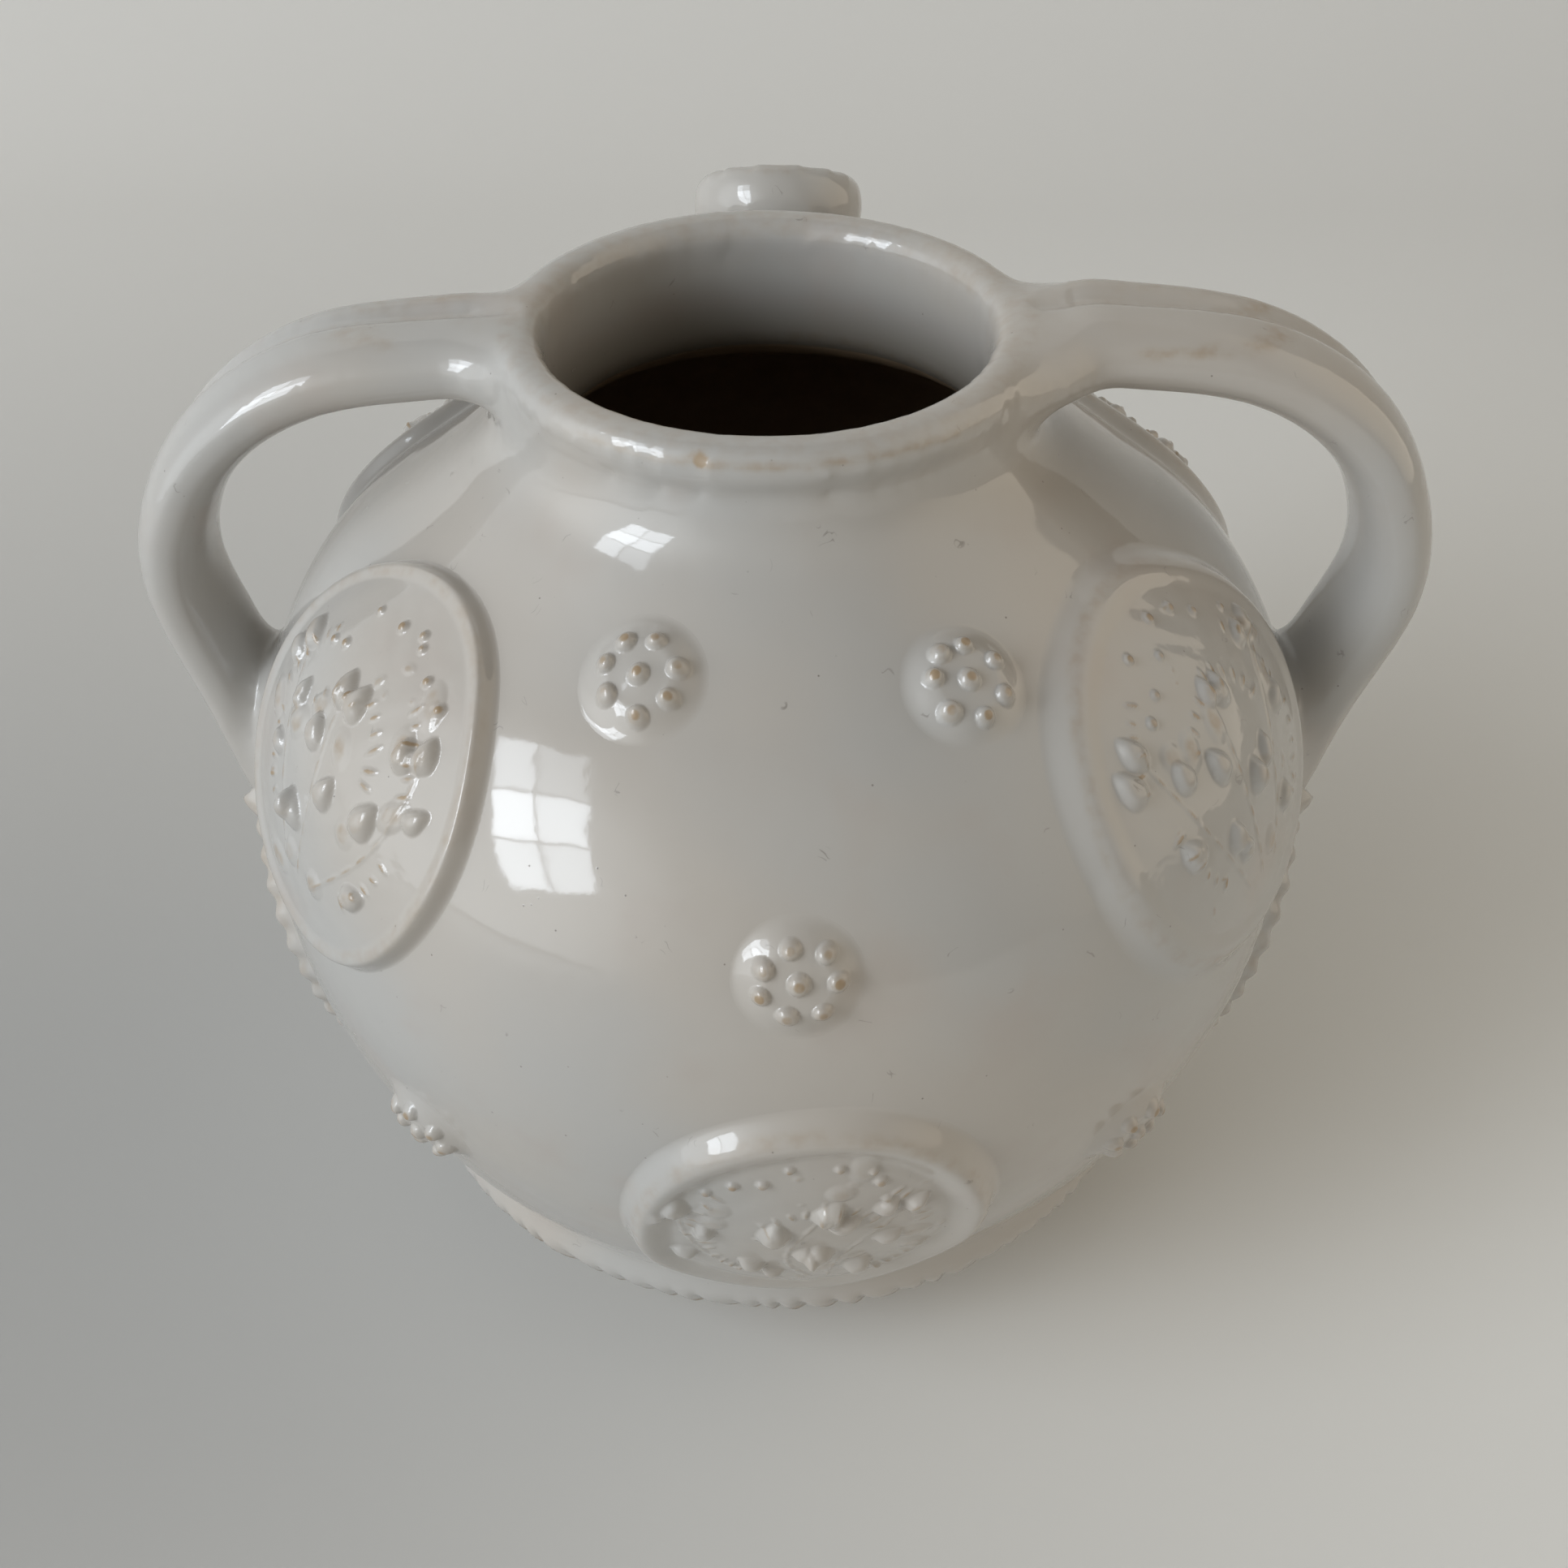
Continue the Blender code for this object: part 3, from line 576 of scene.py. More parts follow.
def makePot():
    globe = throwGlobe()
    roll = rollLip()
    tube, bore = turnSpout()
    cutAway(globe, bore)
    straps = [pullStrap("strap_" + name, hand) for name, hand in handles.items()]

    # The neck leans; the lip goes with it
    for obj in (globe, roll):
        points = readPoints(obj)
        share = stepMm(60.0, 84.0, riseOf(points)) * fallMm(52.0, 66.0, fromAxis(points))
        points[:, 0] += thrown["neckLean"] * share
        writePoints(obj, points)

    pot = joinPieces("glazed_pot", globe, roll, tube, *straps)
    addModifier(pot, "REMESH", mode="VOXEL", voxel_size=fusing["voxel"])
    fairSurface(pot, fusing["fairPasses"])
    fillCorners(pot, fusing["fillPasses"], fusing["fillFrom"], offTheNeck)
    fillCorners(pot, fusing["rootFillPasses"], 0.0, nearRoots)
    fairSurface(pot, 6)

    # The inside needs fewer faces, the rolled and pulled parts more
    selectFaces(pot, onInnerWall(readPoints(pot)))
    bpy.ops.mesh.decimate(ratio=fusing["innerShare"])
    objectMode()
    points = readPoints(pot)
    radius, rise = fromAxis(points), riseOf(points)
    onStraps = (radius - wallRadius(rise) > fusing["fineBeyond"]) & (radius > fusing["fineRadius"])
    selectFaces(pot, (rise > thrown["neckTop"] - 6.0 * mm) | (onStraps & (rise > -15.0 * mm)))
    bpy.ops.mesh.subdivide(number_cuts=1, smoothness=0.0)
    objectMode()
    fairSurface(pot, 8)
    writePoints(pot, pressGrooves(readPoints(pot)))
    points = readPoints(pot)
    writePoints(pot, points + readNormals(pot) * unevenness(points)[:, None])
    bpy.ops.object.shade_smooth()
    pot.data.calc_loop_triangles()
    print("pot fused:", len(pot.data.loop_triangles), "triangles")
    return pot


potThin = {"crest": 0.55, "lip": 0.30, "lipFront": 0.12, "nick": 1.5, "mouth": 0.27, "neck": 0.14,
           "groove": 0.30, "ridge": 0.24}


def markPot(pot):
    # Where the glaze is thin on sharp crests, and where the bare inside begins
    average = neighbourAverage(pot)
    points = readPoints(pot)
    crest = -np.sum((average(points) - points) * readNormals(pot), axis=1)
    for step in range(3):
        crest = 0.5 * (crest + average(np.stack([crest, crest, crest], 1))[:, 0])
    radius, rise = fromNeck(points), riseOf(points)
    # the outer crest of the lip, more so at the front right, and the bare nick in it
    front = stepMm(-30.0, 10.0, points[:, 0] - 0.4 * points[:, 1])
    ring = np.exp(-((rise - 95.0 * mm) / (1.2 * mm)) ** 2) * stepMm(44.0, 45.5, radius)
    nick = np.array(lip["nick"]) + np.array((thrown["neckLean"], 0.0, thrown["equator"]))
    # a groove's bottom and the narrow ridge behind it
    place, groove, _ = acrossStraps(points)
    writeMask(pot, "thinGlaze", np.max([
        potThin["crest"] * stepMm(0.02, 0.10, crest),
        (potThin["lip"] + potThin["lipFront"] * front) * ring * (1.0 - nearRoots(points)),
        potThin["nick"] * np.exp(-(np.linalg.norm(points - nick, axis=1) / (1.3 * mm)) ** 2),
        potThin["mouth"] * stepMm(92.0, 95.5, rise) * fallMm(45.5, 47.0, radius),
        potThin["neck"] * stepMm(84.0, 90.0, rise) * fallMm(50.0, 60.0, radius),
        groove * (potThin["groove"] * np.exp(-(place / 0.5) ** 2)
                  + potThin["ridge"] * easeStep(0.3, 1.4, place)),
    ], axis=0))
    # the inside: painted shade down the neck's inner wall, and bare clay below the throat
    wall = globeRadius(np.clip(rise, -0.9 * thrown["bellyDrop"], thrown["topShare"] * thrown["shoulderRise"]))
    inward = fromAxis(points) < wall - 0.5 * thrown["wall"]
    inward = (inward & (rise < thrown["throatRise"])) | (radius < 41.0 * mm)
    inward &= rise > thrown["lowEdge"] - thrown["equator"] + 2.0 * mm
    writeMask(pot, "inward", inward.astype(float))


# Applied pieces: a flat sheet of clay is cut out, given a back, and pressed onto the globe

def cutSheet(name, halfWidth, halfHeight, sheet):
    columns, rowCount = (int(round(2.0 * half / sheet["cell"])) for half in (halfWidth, halfHeight))
    bpy.ops.mesh.primitive_grid_add(x_subdivisions=columns, y_subdivisions=rowCount, size=2.0)
    obj = editNamed(name)
    bpy.ops.transform.resize(value=(halfWidth, halfHeight, 1.0))
    objectMode()
    points = readPoints(obj)
    inside = (points[:, 0] / halfWidth) ** 2 + (points[:, 1] / halfHeight) ** 2 < 1.0
    selectFaces(obj, inside)
    bpy.ops.mesh.select_all(action="INVERT")
    bpy.ops.mesh.delete(type="FACE")
    objectMode()
    addModifier(obj, "SOLIDIFY", thickness=sheet["thickness"], offset=-1.0)
    upper = readPoints(obj)[:, 2] > -0.5 * sheet["thickness"]
    selectFaces(obj, upper)
    bpy.ops.mesh.subdivide(number_cuts=sheet["cuts"], smoothness=0.0)
    objectMode()
    return obj


def pressOn(obj, azimuth, rise, heights, sheet):
    # heights(x, y) gives the lift and the thin-glaze mask over the sheet
    flat = readPoints(obj)
    x, y = flat[:, 0], flat[:, 1]
    upper = flat[:, 2] > -0.5 * sheet["thickness"]
    lift, thin = heights(x, y)
    base, normal = onGlobe(azimuth, rise, x, y)
    lift = np.where(upper, lift + ontoPot(base, normal, sheet["reach"]), -sheet["thickness"] - 0.5 * mm)
    writePoints(obj, base + normal * lift[:, None])
    writeMask(obj, "thinGlaze", np.where(upper, thin, 0.0))
    pick(obj)
    bpy.ops.object.shade_smooth()
    return obj


def bump(x, y, centre, turn, length, width, taper=0.0):
    # 1 at the middle of a drop, bead or stroke, 0 at its edge
    dx, dy = x - centre[0], y - centre[1]
    c, s = math.cos(turn), math.sin(turn)
    a = (dx * s + dy * c) / length
    b = (dx * c - dy * s) / (width * (1.0 - taper * np.clip(a, -1.0, 1.0)))
    return np.clip(1.0 - a * a - b * b, 0.0, 1.0)


# The boss is its lift at distances from its middle, in millimetres
clusters = inMm({"radius": 8.9, "beadRadius": 1.7, "beadRise": 1.35, "cell": 1.1, "thickness": 1.4,
                 "reach": 7.0}) | {
    "margin": 1.42, "boss": ((0.0, 2.7), (4.6, 2.4), (10.7, 0.0), (12.3, -0.8)), "cuts": 4}
# The glaze has crawled off these beads
bareBeads = (("beads_front_right", 1), ("beads_front_right", 3), ("beads_low_front_left", 5),
             ("beads_low_front_right", 2), ("beads_back_middle", 4))
# Azimuth, rise, and the beads about the middle one, across and up, in millimetres
clusterPlaces = {
    "beads_front_left": (-19.0, 64.6, (
        (-6.0, 0.6), (-3.8, 4.6), (1.2, 5.7), (5.8, 2.2), (5.5, -2.7), (1.5, -6.3), (-4.2, -4.1))),
    "beads_front_right": (26.0, 63.2, (
        (-5.4, 1.8), (-2.9, 5.3), (1.6, 5.5), (5.8, 1.8), (5.1, -3.9), (0.4, -6.2), (-4.8, -4.0))),
    "beads_front_middle": (2.0, 32.6, (
        (-1.2, 5.4), (4.4, 4.6), (6.2, 0.0), (3.6, -4.9), (-1.8, -5.4), (-5.9, -2.1), (-5.4, 2.3))),
}
ringTurns = {
    "beads_low_front_left": (-41.4, -25.8, 0.0),
    "beads_low_front_right": (41.4, -25.8, 20.0),
    "beads_back_left": (-155.0, 65.0, 5.0),
    "beads_back_right": (155.0, 65.0, 30.0),
    "beads_back_middle": (180.0, 24.0, 0.0),
    "beads_low_back_left": (-138.0, -25.8, 12.0),
    "beads_low_back_right": (138.0, -25.8, 40.0),
}
rng = random.Random(11)
for name, (azimuth, rise, turn) in ringTurns.items():
    ring = []
    for bead in range(7):
        angle = math.radians(turn + 360.0 * bead / 7 + rng.uniform(-5, 5))
        reach = 5.9 + rng.uniform(-0.35, 0.35)
        ring.append((reach * math.sin(angle), reach * math.cos(angle)))
    clusterPlaces[name] = (azimuth, rise, ring)


def makeCluster(name, azimuth, rise, ring):
    reach = clusters["radius"] * clusters["margin"]
    sheet = cutSheet(name + "_glazed", reach, reach, clusters)

    def heights(x, y):
        radius = np.hypot(x, y) / mm
        lift = easeThrough(clusters["boss"], radius) * mm
        thin = np.zeros(len(x))
        for index, (across, up) in enumerate([(0.0, 0.0)] + list(ring)):
            size = clusters["beadRadius"] * (1.0 + 0.08 * math.sin(3.7 * index + azimuth))
            share = bump(x, y, (across * mm, up * mm), 0.4 * index, size * 1.06, size)
            lift = lift + clusters["beadRise"] * (np.sqrt(share) * 0.75 + 0.25 * easeStep(0.0, 1.0, share))
            tip = 1.7 if (name, index) in bareBeads else 0.85 + 0.25 * math.sin(2.3 * index + rise)
            thin = np.maximum(thin, tip * easeStep(0.64, 0.98, share))
            thin = np.maximum(thin, 0.30 * easeStep(0.05, 0.5, share))
        return lift, thin

    return pressOn(sheet, azimuth, rise * mm, heights, clusters)


# Lift in millimetres at shares of the way from a medallion's middle to its edge
padShapes = {
    "pad": ((0.0, 2.8), (0.86, 2.1), (0.93, 2.8), (1.01, 0.0), (1.06, -0.5)),
    "softRim": ((0.0, 2.8), (0.78, 1.9), (0.87, 2.5), (1.06, 0.0), (1.12, -0.5)),
    "sunken": ((0.0, 2.3), (0.68, 1.4), (0.73, 1.3), (0.885, 3.7), (1.045, 0.0), (1.11, -0.5)),
    "crimped": ((0.0, 2.6), (0.74, 1.8), (0.89, 3.5), (1.02, 0.0), (1.07, -0.5)),
}
# Height, thinness of the glaze and steepness of a medallion's marks
markWeights = {"pad": (0.92, 0.9, 0.6), "softRim": (0.80, 0.9, 0.3), "sunken": (1.05, 0.65, 0.35),
               "crimped": (0.95, 0.8, 0.6)}
medallions = inMm({"cell": 2.0, "thickness": 1.6, "reach": 4.0}) | {"cuts": 5, "margin": 1.16}
# Azimuth, rise, half width, half height, shape
medallionPlaces = {
    "medallion_front_left": (-55.5, 41.5, 35.0, 37.0, "pad"),
    "medallion_front_right": (57.0, 41.0, 38.0, 38.5, "softRim"),
    "medallion_back_left": (-131.0, 41.5, 35.0, 37.0, "pad"),
    "medallion_back_right": (128.0, 41.5, 35.0, 37.0, "softRim"),
    "medallion_low_front": (3.5, -28.0, 32.5, 36.0, "sunken"),
    "medallion_low_back": (180.0, -28.0, 32.5, 36.0, "sunken"),
    "medallion_low_left": (-87.0, -31.5, 33.5, 35.0, "crimped"),
    "medallion_low_right": (87.0, -31.5, 33.5, 35.0, "crimped"),
}


def sprayOfMarks(seed, halfWidth, halfHeight):
    # Generic buds on fine stems, combs of short strokes, beads and crumbs of clay:
    # each mark is (place, turn, length, width, rise, taper, thinness of the glaze on it)
    rng = random.Random(seed)
    vary = rng.uniform
    marks = []

    def onField(across, up):
        return (across * halfWidth, up * halfHeight)

    def towards(angle, reach):
        return onField(reach * math.sin(angle), reach * math.cos(angle))

    def addBud(place, turn, size):
        marks.append((place, turn, size * 1.35, size, 0.75 * size, 0.35, 0.35))

    for stem in range(3):
        lean = -0.60 + 0.58 * stem + vary(-0.10, 0.10)
        sway = vary(-0.22, 0.22)
        last = onField(0.2 * lean, -0.62)
        for step in range(1, 10):
            t = step / 9
            spot = onField(0.2 * lean + 0.80 * lean * t + sway * math.sin(math.pi * t), -0.62 + 0.92 * t)
            dx, dy = spot[0] - last[0], spot[1] - last[1]
            middle = (0.5 * (spot[0] + last[0]), 0.5 * (spot[1] + last[1]))
            turn = math.atan2(dx, dy)
            marks.append((middle, turn, 0.62 * math.hypot(dx, dy), 0.55 * mm, 0.24 * mm, 0.0, 0.55))
            if step in (2, 4, 6, 8):
                side = 1 if (step // 2 + stem) % 2 else -1
                size = vary(1.9, 2.9) * mm
                reach = size * 1.3 + 1.6 * mm
                tilt = turn + side * vary(0.8, 1.3)
                bud = (spot[0] + reach * math.sin(tilt), spot[1] + reach * math.cos(tilt))
                addBud(bud, turn + side * vary(0.1, 0.5), size)
            last = spot
        addBud(last, turn, vary(2.1, 2.8) * mm)
    for comb in range(6):
        angle = math.radians((-66, 64, -124, 126, -20, 48)[comb] + vary(-8, 8))
        reach = (0.64, 0.60, 0.56, 0.66, 0.30, 0.36)[comb]
        for step in range(6):
            along = angle + 0.08 / reach * (step - 2.5) + vary(-0.02, 0.02)
            marks.append((towards(along, reach), along + vary(-0.35, 0.35), vary(1.2, 2.2) * mm, 0.6 * mm,
                          vary(0.25, 0.42) * mm, 0.0, 0.9))
    for step in range(8):
        angle = math.radians(-50 + 14 * step + vary(-5, 5))
        reach = vary(0.52, 0.74)
        size = vary(0.95, 1.3) * mm
        marks.append((towards(angle, reach), 0.0, size, size, 0.75 * size, 0.0, 0.95))
    for step in range(22):
        angle, reach = vary(0, 2 * math.pi), 0.74 * math.sqrt(vary(0.03, 1.0))
        size = rng.choice((0.6, 0.8, 1.1, 2.6)) * mm
        marks.append((towards(angle, reach), vary(0, 3.1), size * vary(1.0, 1.8), size,
                      vary(0.15, 0.26) * size, 0.0, 0.5))
    return marks


def makeMedallion(name, azimuth, rise, halfWidth, halfHeight, shape, seed):
    halfWidth, halfHeight = halfWidth * mm, halfHeight * mm
    margin = medallions["margin"]
    sheet = cutSheet(name + "_glazed", halfWidth * margin, halfHeight * margin, medallions)
    marks = sprayOfMarks(seed, halfWidth, halfHeight)
    reliefWeight, thinWeight, steepness = markWeights[shape]

    def heights(x, y):
        share = np.hypot(x / halfWidth, y / halfHeight)
        angle = np.arctan2(x, y)
        edge = 1.0 + 0.012 * np.sin(2.0 * angle + seed) + 0.009 * np.sin(5.0 * angle + 2.0 * seed)
        lift = easeThrough(padShapes[shape], share / edge) * mm
        if shape == "crimped":
            notch = 0.5 - 0.5 * np.cos(34.0 * angle + 0.6 * np.sin(3.0 * angle))
            lift = lift - 0.9 * mm * notch * easeStep(0.80, 0.9, share) * fall(0.95, 1.02, share)
        if shape == "sunken":
            # the rim sinks towards the girdle
            sink = easeStep(-0.1, -0.95, np.cos(angle)) * easeStep(0.74, 0.88, share)
            lift = lift - 1.5 * mm * sink * fall(0.9, 1.04, share)
        thin = 0.30 * easeStep(0.84, 0.91, share) * fall(0.93, 0.99, share)
        field = fall(0.76, 0.88, share)
        hammered = np.sin(x / (1.9 * mm) + seed + 1.3 * np.sin(y / (3.7 * mm)))
        hammered = hammered * np.sin(y / (1.7 * mm) - seed + 1.1 * np.sin(x / (4.1 * mm)))
        lift = lift + 0.06 * mm * field * hammered
        for spot, turn, length, width, markRise, taper, tip in marks:
            bell = bump(x, y, spot, turn, length, width, taper)
            dome = steepness * np.sqrt(bell) + (1.0 - steepness) * easeStep(0.0, 1.0, bell)
            lift = lift + field * reliefWeight * markRise * dome
            thin = np.maximum(thin, field * thinWeight * tip * easeStep(0.35, 0.95, bell))
        return lift, thin

    return pressOn(sheet, azimuth, rise * mm, heights, medallions)


girdle = {"drop": 69.0 * mm, "crimps": 88, "stepsPerCrimp": 10, "crimpDepth": 1.25, "crimpLean": 0.34}
# Section of the strip, from its upper seam round the nose to its lower seam: (up, out) in millimetres
girdleSection = ((5.4, -0.9), (4.4, -0.3), (3.3, 0.4), (2.3, 1.4), (1.5, 2.8), (0.7, 4.0), (-0.6, 4.7),
                 (-2.0, 5.0), (-3.2, 5.1), (-4.1, 4.9), (-4.6, 4.2), (-4.8, 3.0), (-4.7, 1.6), (-4.9, 0.4),
                 (-5.4, -0.9))


def makeGirdle():
    # A strip laid round the belly and crimped at its lower edge with a fingertip
    steps = girdle["crimps"] * girdle["stepsPerCrimp"]
    profile = [(thrown["radius"] + out * mm, up * mm) for up, out in girdleSection]
    obj = turnOnWheel("girdle_band_glazed", profile + [profile[0]], steps)
    flat = readPoints(obj)
    turn = np.arctan2(flat[:, 0], -flat[:, 1])
    out = fromAxis(flat) - thrown["radius"]
    up = flat[:, 2]
    wobble = 0.5 * np.sin(7.0 * turn + 0.5) + 0.35 * np.sin(17.0 * turn) + 0.3 * np.sin(29.0 * turn + 1.0)
    phase = 0.5 * girdle["crimps"] * turn + 1.3 * wobble + girdle["crimpLean"] * (up / mm + 4.0)
    notch = 1.0 - np.abs(np.cos(phase)) ** 0.7
    nose = stepMm(2.6, 4.6, out)
    low = nose * stepMm(2.2, -1.5, up)
    out = out - low * (girdle["crimpDepth"] * (1.0 + 0.6 * wobble) * notch - 0.3 * wobble) * mm
    up = up + nose * (0.7 * notch - 0.5 * wobble) * mm * easeStep(0.0, -4.0 * mm, up)
    base, normal = atTurn(turn, walkUp(-girdle["drop"], up))
    writePoints(obj, base + normal * (out + ontoPot(base, normal))[:, None])
    tips = stepMm(3.4, 4.9, out) * (1.0 - 0.8 * notch) * stepMm(-1.4, -2.8, up)
    writeMask(obj, "thinGlaze", 0.85 * tips)
    editMode(obj)
    bpy.ops.mesh.normals_make_consistent(inside=False)
    objectMode()
    bpy.ops.object.shade_smooth()
    return obj


foot = inMm({"radius": 51.0, "height": 6.3, "ringWidth": 7.0, "recess": 1.2, "edge": 1.0})


def makeFoot():
    r, e, top = foot["radius"], foot["edge"], foot["height"]
    ring = r - foot["ringWidth"]
    profile = [(0.0, foot["recess"]), (ring - e, foot["recess"]), (ring, 0.2 * mm), (ring + e, 0.0),
               (r - e, 0.0), (r - 0.3 * e, 0.3 * e), (r, e), (r - 0.6 * mm, 0.6 * top),
               (r + 0.8 * mm, top), (r + 1.5 * mm, top + 1.5 * mm), (0.0, top + 1.5 * mm)]
    obj = turnOnWheel("foot_bare", profile)
    bpy.ops.object.shade_smooth_by_angle(angle=math.radians(50))
    return obj


# Finishes

def feed(tree, socket, value):
    # Links a node's output, or sets a number or a colour
    if hasattr(value, "links"):
        tree.links.new(value, socket)
    else:
        socket.default_value = (*value, 1.0) if isinstance(value, tuple) else value


def addNode(tree, kind, **inputs):
    node = tree.nodes.new(kind)
    for name, value in inputs.items():
        feed(tree, node.inputs[name], value)
    return node


def maths(tree, operation, first, second=0.0):
    node = tree.nodes.new("ShaderNodeMath")
    node.operation = operation
    feed(tree, node.inputs[0], first)
    feed(tree, node.inputs[1], second)
    return node.outputs[0]


def plus(tree, first, second):
    return maths(tree, "ADD", first, second)


def times(tree, first, second):
    return maths(tree, "MULTIPLY", first, second)


def ramp(tree, value, low, high):
    node = addNode(tree, "ShaderNodeMapRange", **{"Value": value, "From Min": low, "From Max": high})
    node.interpolation_type = "SMOOTHSTEP"
    return node.outputs["Result"]


def rampDown(tree, value, low, high):
    return maths(tree, "SUBTRACT", 1.0, ramp(tree, value, low, high))


def blendColour(tree, share, first, second, mode="MIX"):
    node = tree.nodes.new("ShaderNodeMix")
    node.data_type = "RGBA"
    node.blend_type = mode
    for socket, value in zip((node.inputs[0], node.inputs[6], node.inputs[7]), (share, first, second)):
        feed(tree, socket, value)
    return node.outputs[2]


def ownPlace(tree):
    return tree.nodes.new("ShaderNodeTexCoord").outputs["Object"]


def noise(tree, place, scale, detail, distortion=0.0):
    return addNode(tree, "ShaderNodeTexNoise", Vector=place, Scale=scale, Detail=detail,
                   Distortion=distortion).outputs["Fac"]


def scatter(tree, place, scale, spread, few):
    # Dots of a spread about random points, kept on only a few of them
    cells = addNode(tree, "ShaderNodeTexVoronoi", Vector=place, Scale=scale)
    dots = rampDown(tree, cells.outputs["Distance"], *spread)
    return times(tree, dots, ramp(tree, cells.outputs["Color"], *few))


glaze = {
    "cool": (0.442, 0.433, 0.415),
    "warm": (0.466, 0.433, 0.392),
    "pink": (0.435, 0.382, 0.342),
    "clayTint": (0.32, 0.225, 0.125),
    "speck": (0.07, 0.055, 0.04),
    "roughness": 0.065,
    "ior": 1.6,
    "bump": 0.55,
    "bumpDistance": 0.3 * mm,
}


def makeGlazeGroup():
    # Tin glaze: slow colour drift, clay showing through where it is thin, specks, lint and ripples
    group = bpy.data.node_groups.new("tinGlaze", "ShaderNodeTree")
    for name, way, kind in (("Thin", "INPUT", "Float"), ("Color", "OUTPUT", "Color"),
                            ("Roughness", "OUTPUT", "Float"), ("Height", "OUTPUT", "Float")):
        group.interface.new_socket(name, in_out=way, socket_type="NodeSocket" + kind)
    source = group.nodes.new("NodeGroupInput")
    target = group.nodes.new("NodeGroupOutput")
    place = ownPlace(group)

    drift = ramp(group, noise(group, place, 13.0, 2.0), 0.38, 0.62)
    colour = blendColour(group, drift, glaze["cool"], glaze["warm"])
    pinkShare = times(group, ramp(group, noise(group, place, 48.0, 3.0), 0.52, 0.78), 0.45)
    colour = blendColour(group, pinkShare, colour, glaze["pink"])

    mottle = plus(group, ramp(group, noise(group, place, 330.0, 2.0), 0.2, 0.8), 0.55)
    thin = ramp(group, times(group, source.outputs["Thin"], mottle), 0.08, 1.05)
    colour = blendColour(group, times(group, thin, 0.85), colour, glaze["clayTint"])

    speck = scatter(group, place, 290.0, (0.02, 0.07), (0.54, 0.84))
    colour = blendColour(group, times(group, speck, 0.75), colour, glaze["speck"])

    # lint: pieces of the lines where a noise crosses its middle level
    line = maths(group, "ABSOLUTE", maths(group, "SUBTRACT", noise(group, place, 300.0, 1.0, 0.8), 0.5))
    pieces = scatter(group, place, 135.0, (0.10, 0.18), (0.41, 0.45))
    lint = times(group, rampDown(group, line, 0.006, 0.020), pieces)
    colour = blendColour(group, times(group, lint, 0.45), colour, glaze["speck"])

    height = times(group, noise(group, place, 62.0, 2.0), 1.2)
    height = plus(group, height, times(group, noise(group, place, 900.0, 1.0), 0.03))
    height = plus(group, height, times(group, speck, 0.08))
    height = maths(group, "SUBTRACT", height, times(group, thin, 0.10))
    rough = plus(group, glaze["roughness"], times(group, thin, 0.10))
    rough = plus(group, rough, times(group, plus(group, speck, lint), 0.3))

    for name, value in (("Color", colour), ("Roughness", rough), ("Height", height)):
        group.links.new(value, target.inputs[name])
    return group


tinGlaze = makeGlazeGroup()


def startMaterial(name):
    mat = bpy.data.materials.new(name)
    mat.use_nodes = True
    return mat, mat.node_tree, mat.node_tree.nodes["Principled BSDF"]


def mask(tree, name):
    node = tree.nodes.new("ShaderNodeAttribute")
    node.attribute_name = name
    return node.outputs["Fac"]


def relieve(tree, shader, strength, distance, height):
    relief = addNode(tree, "ShaderNodeBump", Strength=strength, Distance=distance, Height=height)
    tree.links.new(relief.outputs["Normal"], shader.inputs["Normal"])


def makeGlaze(name, bareInside=False):
    mat, tree, shader = startMaterial(name)
    shader.inputs["IOR"].default_value = glaze["ior"]
    finish = tree.nodes.new("ShaderNodeGroup")
    finish.node_tree = tinGlaze
    tree.links.new(mask(tree, "thinGlaze"), finish.inputs["Thin"])
    colour, rough = finish.outputs["Color"], finish.outputs["Roughness"]
    if bareInside:
        within = mask(tree, "inward")
        place = ownPlace(tree)
        wave = times(tree, noise(tree, place, 30.0, 1.0), inside["ragged"])
        height = plus(tree, addNode(tree, "ShaderNodeSeparateXYZ", Vector=place).outputs["Z"], wave)
        # Painted shade: the neck's inner wall is darkened more and more from above the lip down to the
        # throat, standing in for the shade deep in the mouth
        shade = times(tree, rampDown(tree, height, inside["edge"], inside["neckTop"]), within)
        colour = blendColour(tree, times(tree, shade, inside["paintedShadeShare"]), colour, inside["paintedShadeTone"])
        edge = (inside["edge"] - 0.5 * mm, inside["edge"] + 0.5 * mm)
        bare = times(tree, rampDown(tree, height, *edge), within)
        clay = blendColour(tree, noise(tree, place, 120.0, 4.0), inside["dark"], inside["light"])
        colour = blendColour(tree, bare, colour, clay)
        rough = plus(tree, rough, times(tree, bare, 0.25))
    tree.links.new(colour, shader.inputs["Base Color"])
    tree.links.new(rough, shader.inputs["Roughness"])
    relieve(tree, shader, glaze["bump"], glaze["bumpDistance"], finish.outputs["Height"])
    return mat


# Inside the mouth: a painted shade tone and its strength darken the neck's inner wall down to the throat;
# below it is the bare clay
inside = {
    "dark": (0.20, 0.14, 0.09),
    "light": (0.32, 0.23, 0.15),
    "paintedShadeTone": (0.12, 0.105, 0.083),
    "paintedShadeShare": 0.9,
    "edge": thrown["equator"] + thrown["throatRise"] - 0.6 * mm,
    "neckTop": thrown["equator"] + thrown["neckTop"] + 4.0 * mm,
    "ragged": 1.4 * mm,
}
clay = {"pale": (0.50, 0.40, 0.29), "deep": (0.36, 0.26, 0.17), "grit": (0.16, 0.11, 0.07),
        "roughness": 0.85, "bump": 0.4, "bumpDistance": 0.15 * mm}


